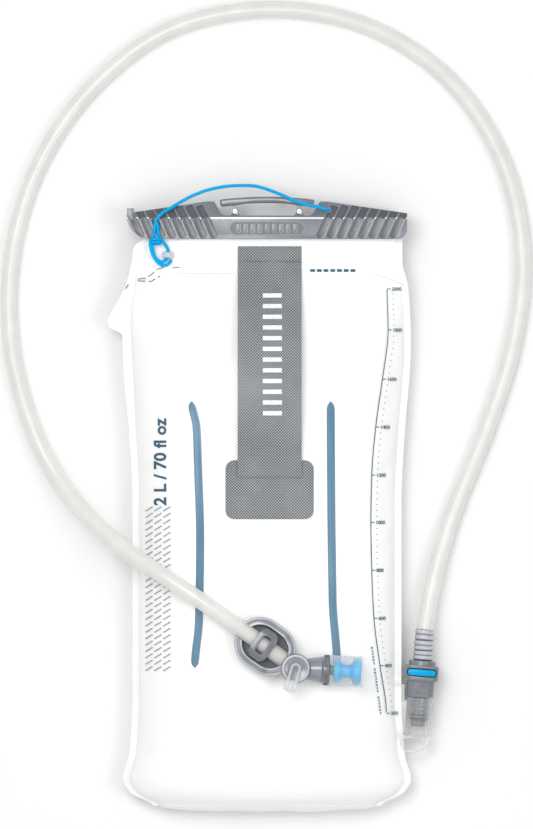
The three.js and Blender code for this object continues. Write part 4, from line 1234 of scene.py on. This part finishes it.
def valve_housing():
    """The upright hub, the cone towards the mouthpiece and the barb inside the tube."""
    h, c = HOUSING, CONE
    toward = TUBE_END - VALVE_FRAME.translation
    inlet_turn = Matrix.Rotation(atan2(toward.y, toward.x) - VALVE_TURN, 4, "Z")
    profile = [(0, h.z0), (h.r - 1, h.z0), (h.r, h.z0 + 1), (h.r, h.z1 - 0.3), (h.r - 0.3, h.z1), (0, h.z1)]
    hub = lathe(profile, "z")
    cone = lathe([(0, c.x0), (c.r0, c.x0), (c.r1 - 0.1, c.x1 - 0.9), (c.r1, c.x1 - 0.5), (c.r1 - 0.3, c.x1),
                  (0, c.x1)], "x")
    fused(hub, cone, moved(rod("x", 0, 20, 2.85), inlet_turn))
    carved(hub, rod("z", h.socket_z, h.z1 + 1, h.socket), moved(rod("x", 0, 21, 2), inlet_turn),
           rod("x", 0, c.x1 + 1, h.flow))
    return eased(hub, 0.3, 2, 40)


def valve_collar():
    """The collar, notched round its edge, and the spigot that the mouthpiece stands on."""
    c = COLLAR
    collar = lathe([(2.4, c.x0), (c.r - 0.5, c.x0), (c.r, c.x0 + 0.5), (c.r, c.x1 - 0.4), (c.r - 0.4, c.x1),
                    (c.spigot, c.x1), (c.spigot, c.spigot_end), (c.bore, c.spigot_end),
                    (c.bore, c.x0 + 1)], "x")
    notches = []
    for i in range(c.notches):
        notch = block((c.x0 + 1.1, -1.5, c.r - 0.8), (c.x1 - 1.0, 1.5, c.r + 1))
        notches.append(moved(notch, Matrix.Rotation(2 * pi * (i + 0.5) / c.notches, 4, "X")))
    return eased(carved(collar, *notches), 0.18)


def shutoff_barrel():
    """The barrel under a round cap with a raised rim and a hollow face."""
    b = BARREL
    face = [(0, -0.75), (3, -0.7), (5.6, -0.35), (6.9, 0), (7.6, -0.1), (8.1, -0.7), (b.cap_r, -1.2)]
    profile = [(r, b.cap_top + up) for r, up in face]
    profile += [(b.cap_r, b.cap_z + 0.5), (b.cap_r - 0.5, b.cap_z), (b.r, b.cap_z), (b.r, b.z0), (0, b.z0)]
    barrel = dress(lathe(profile, "z", 64), CAPS)
    carved(barrel, rod("x", -6, 6, HOUSING.flow))
    # The cap's outer slope is painted dark as shade, and the ring of its raised rim lighter as a highlight.
    indexed(barrel, 1, lambda c: c.z > b.cap_z + 0.6 and hypot(c.x, c.y) > 8)
    return indexed(barrel, 2, lambda c: c.z > b.cap_top - 0.72 and 6.8 < hypot(c.x, c.y) < 8)


def shutoff_lever():
    """The clear lever: an arch whose two legs reach past the cap and join in a flat foot."""
    w = LEVER.half
    reach = LEVER.reach - 1.1
    leg = [-reach * t for t in parts(14)[1:]]
    path = [(-w, y) for y in reversed(leg)] + arc(w, pi, 0, 16) + [(w, y) for y in leg]
    half = len(path) // 2

    def radius(i):
        along = abs(i - half)
        out = smooth(half * 0.55, half * 0.95, along)
        return 0.84 + 0.5 * out * (1 - 0.3 * smooth(half * 0.96, half, along))

    bar = cord_mesh([Vector((x, y, 0)) for x, y in path], radius, 18)
    foot = block((-w, 0.3 - LEVER.reach, -0.6), (w, 1 - BARREL.cap_r, 0.6))
    fused(bar, eased(foot, 0.3))
    flat = Matrix.Translation((0, 0, LEVER.z)) @ Matrix.Scale(LEVER.flatten, 4, (0, 0, 1))
    return moved(bar, Matrix.Rotation(LEVER.turn, 4, "Z") @ flat)


def bite_valve():
    """The soft mouthpiece: a base ring, a neck and a lip with a slit across its face."""
    b = BITE
    profile = [(3.2, b.base), (b.base_r - 0.5, b.base), (b.base_r, b.base + 0.5), (b.base_r, b.neck - 0.5),
               (b.base_r - 0.6, b.neck), (4.9, b.neck + 1), (b.neck_r, b.neck + 2.2),
               (b.neck_r, b.lip - 2.0), (5.2, b.lip - 0.8), (b.lip_r - 0.9, b.lip),
               (b.lip_r - 0.1, b.lip + 0.9), (b.lip_r, b.end - 1.6), (b.lip_r - 0.8, b.end - 0.4),
               (b.lip_r - 2, b.end), (0, b.end - 0.3), (0, b.lip), (3.2, b.lip - 1)]
    return carved(lathe(profile, "x"), block((b.end - 2.2, -5, -0.2), (b.end + 1, 5, 0.2)))


def bite_cover():
    """The clear cap, with a bead round its mouth and a flat end."""
    c = COVER
    wall = c.outer - 0.35
    profile = [(c.inner, c.x0), (c.outer, c.x0), (c.outer, c.x0 + 1.6), (wall, c.x0 + 2.0), (wall, c.end - 3),
               (c.outer, c.end - 2.6), (c.outer, c.end - 1), (c.outer - 1, c.end), (0, c.end), (0, c.x1),
               (c.inner - 0.6, c.x1), (c.inner, c.x1 - 0.6)]
    return lathe(profile, "x", 64)


def valve_piece(obj, name, look, body, slot, node, sharp=35):
    finished(obj, name, look, body, slot, node, place=VALVE_FRAME, sharp=sharp)


valve_piece(valve_housing(), "valve_hub", CAP_GREY, "hose", "hard_grey", "valve_housing")
valve_piece(valve_collar(), "valve_neck", GREY_GLOSS, "hose", "hard_grey", "valve_collar")
valve_piece(shutoff_barrel(), "shutoff_cap", CAPS, "shutoff", "hard_grey", "shutoff_barrel")
valve_piece(shutoff_lever(), "shutoff_arm", LEVER_CLEAR, "shutoff", "clear_moulding", "shutoff_lever", 60)
valve_piece(bite_valve(), "mouthpiece", SILICONE, "hose", "blue_silicone", "bite_valve")
valve_piece(bite_cover(), "mouthpiece_cover", COVER_CLEAR, "valve_cover", "clear_moulding",
            "bite_valve_cover")


# ---- prints ----


def decal(name, polygons, look, lift=0.5, height=front_z, slot="film"):
    """Flat polygons laid on the film as one thin printed layer."""
    points = []
    faces = []
    for polygon in polygons:
        faces.append(tuple(range(len(points), len(points) + len(polygon))))
        points += [(x, y, height(x, y) + lift + 1.5 * smooth(0.86, 1, abs(x) / 74)) for x, y in polygon]
    made = shape(points, faces)
    for face in made.data.polygons:
        if face.normal.z < 0:
            face.flip()
    finished(made, name, look, "reservoir", slot)


def stroke(line, width=0.5):
    """Polygons of a line of that width through points."""
    polygons = []
    for a, b in zip(line, line[1:]):
        a, b = Vector(a), Vector(b)
        off = Vector((a.y - b.y, b.x - a.x)).normalized() * width / 2
        polygons.append([tuple(p) for p in (a - off, b - off, b + off, a + off)])
    return polygons


def fine(line, step):
    """A polyline with extra points, so that it follows the film."""
    made = []
    for a, b in zip(line, line[1:]):
        steps = parts(max(1, round(dist(a, b) / step)))[:-1]
        made += [(mix(a[0], b[0], t), mix(a[1], b[1], t)) for t in steps]
    return [*made, line[-1]]


def scale_print():
    """The level scale down the right side: a line, ticks and minor dots."""
    polygons = stroke([(through(TICKS, y), y) for y in range(-120, 126, 5)])
    for y, x in TICKS:
        polygons += stroke([(x, y), (x + 2, y)])
    for a, b in zip(TICKS, TICKS[1:]):
        ys = [mix(a[0], b[0], t) for t in parts(8)[1:-1]]
        polygons += [circle(0.3, 8, (through(TICKS, y) + 3.4, y)) for y in ys]
    return polygons


def lettering(text, size, at, turn=0):
    """Polygons of plain characters, in millimetres."""
    data = bpy.data.curves.new("text", "FONT")
    data.body = text
    data.size = size
    data.resolution_u = 3
    data.offset = size * 0.025
    obj = linked("text", data)
    bpy.context.view_layer.update()
    mesh = evaluated_mesh(obj)
    bpy.data.objects.remove(obj)
    mesh.transform(Matrix.Translation((*at, 0)) @ Matrix.Rotation(turn, 4, "Z"))
    return [[tuple(mesh.vertices[i].co[:2]) for i in face.vertices] for face in mesh.polygons]


def numbers():
    """200 to 2000, beside the scale's ticks."""
    polygons = []
    for n, (y, x) in enumerate(TICKS):
        polygons += lettering(str(200 * (n + 1)), 2.8, (x + 2.7, y - 1))
    return polygons


def hatching():
    """A plain panel of slanting hatch lines, three to a row."""
    polygons = []
    for n in range(26):
        y = -96 + n * 3.7
        for x in (-70.5, -65.3, -60.1):
            polygons += stroke(fine([(x, y), (x + 4.2, y + 2.6)], 2), 0.8)
    return polygons


def fill_line():
    """Dots across the neck and a row of plain dashes above them."""
    y = 134.4
    polygons = [circle(0.26, 8, (-52 + i * 1.55, y)) for i in range(22)]
    polygons += [circle(0.26, 8, (59 + i * 1.5, y - 0.02 * i * i - 0.25 * i)) for i in range(14)]
    return polygons + [rectangle(x, y + 0.8, x + 2.8, y + 2.4) for x in (25 + i * 3.9 for i in range(7))]


def corner_marks():
    """Small plain broken lines near the left shoulder."""
    upper = [(-75.1, 131), (-70.2, 131.6), (-66.4, 134.1), (-64.4, 136.6), (-58.6, 138)]
    lower = [(-75.1, 130), (-67.3, 129.6), (-62.1, 132.8)]
    corner = [(-82, 125.4), (-80.4, 128)]
    hook = [(-55, 137.4), (-50.6, 138), (-50.3, 136.2)]
    marks = []
    for line in (upper, lower, corner, hook):
        marks += [p for i, p in enumerate(stroke(fine(line, 1.6))) if i % 4 != 3]
    return marks


def side_label():
    """Small bars of three widths beside the scale, in three groups."""
    bars = []
    for i in range(22):
        x, y = 65.8 - i * 0.236, -121 + i * 1.8
        wide = 0.3 + 0.1 * (i * 7 % 4)
        if i not in (6, 15):
            bars.append(rectangle(x - wide, y, x + 0.5, y + 1.2))
    return bars


decal("scale_lines", scale_print(), INK)
decal("scale_numbers", numbers(), INK)
decal("capacity_print", lettering("2 L / 70 fl oz", 9.9, (-58.6, -0.3), pi / 2), INK)
decal("hatch_print", hatching(), INK_FAINT)
decal("fill_line_print", fill_line(), INK)
decal("corner_print", corner_marks(), INK)
decal("side_label_print", side_label(), INK_LIGHT)
rungs = [rectangle(-2.4, 52 + i * 6.2, 8.6, 54.5 + i * 6.2) for i in range(12)]
decal("strap_print", rungs, INK_WHITE, 0.1, strap_z, "webbing")


# ---- CAD nodes that are seen as they are ----

for node, look in (("mouth_rail_front", SOFT_CLEAR), ("mouth_rail_back", SOFT_CLEAR), ("poppet", SOFT_CLEAR),
                   ("poppet_spring", STEEL)):
    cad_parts[node].data.materials.clear()
    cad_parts[node].data.materials.append(look)
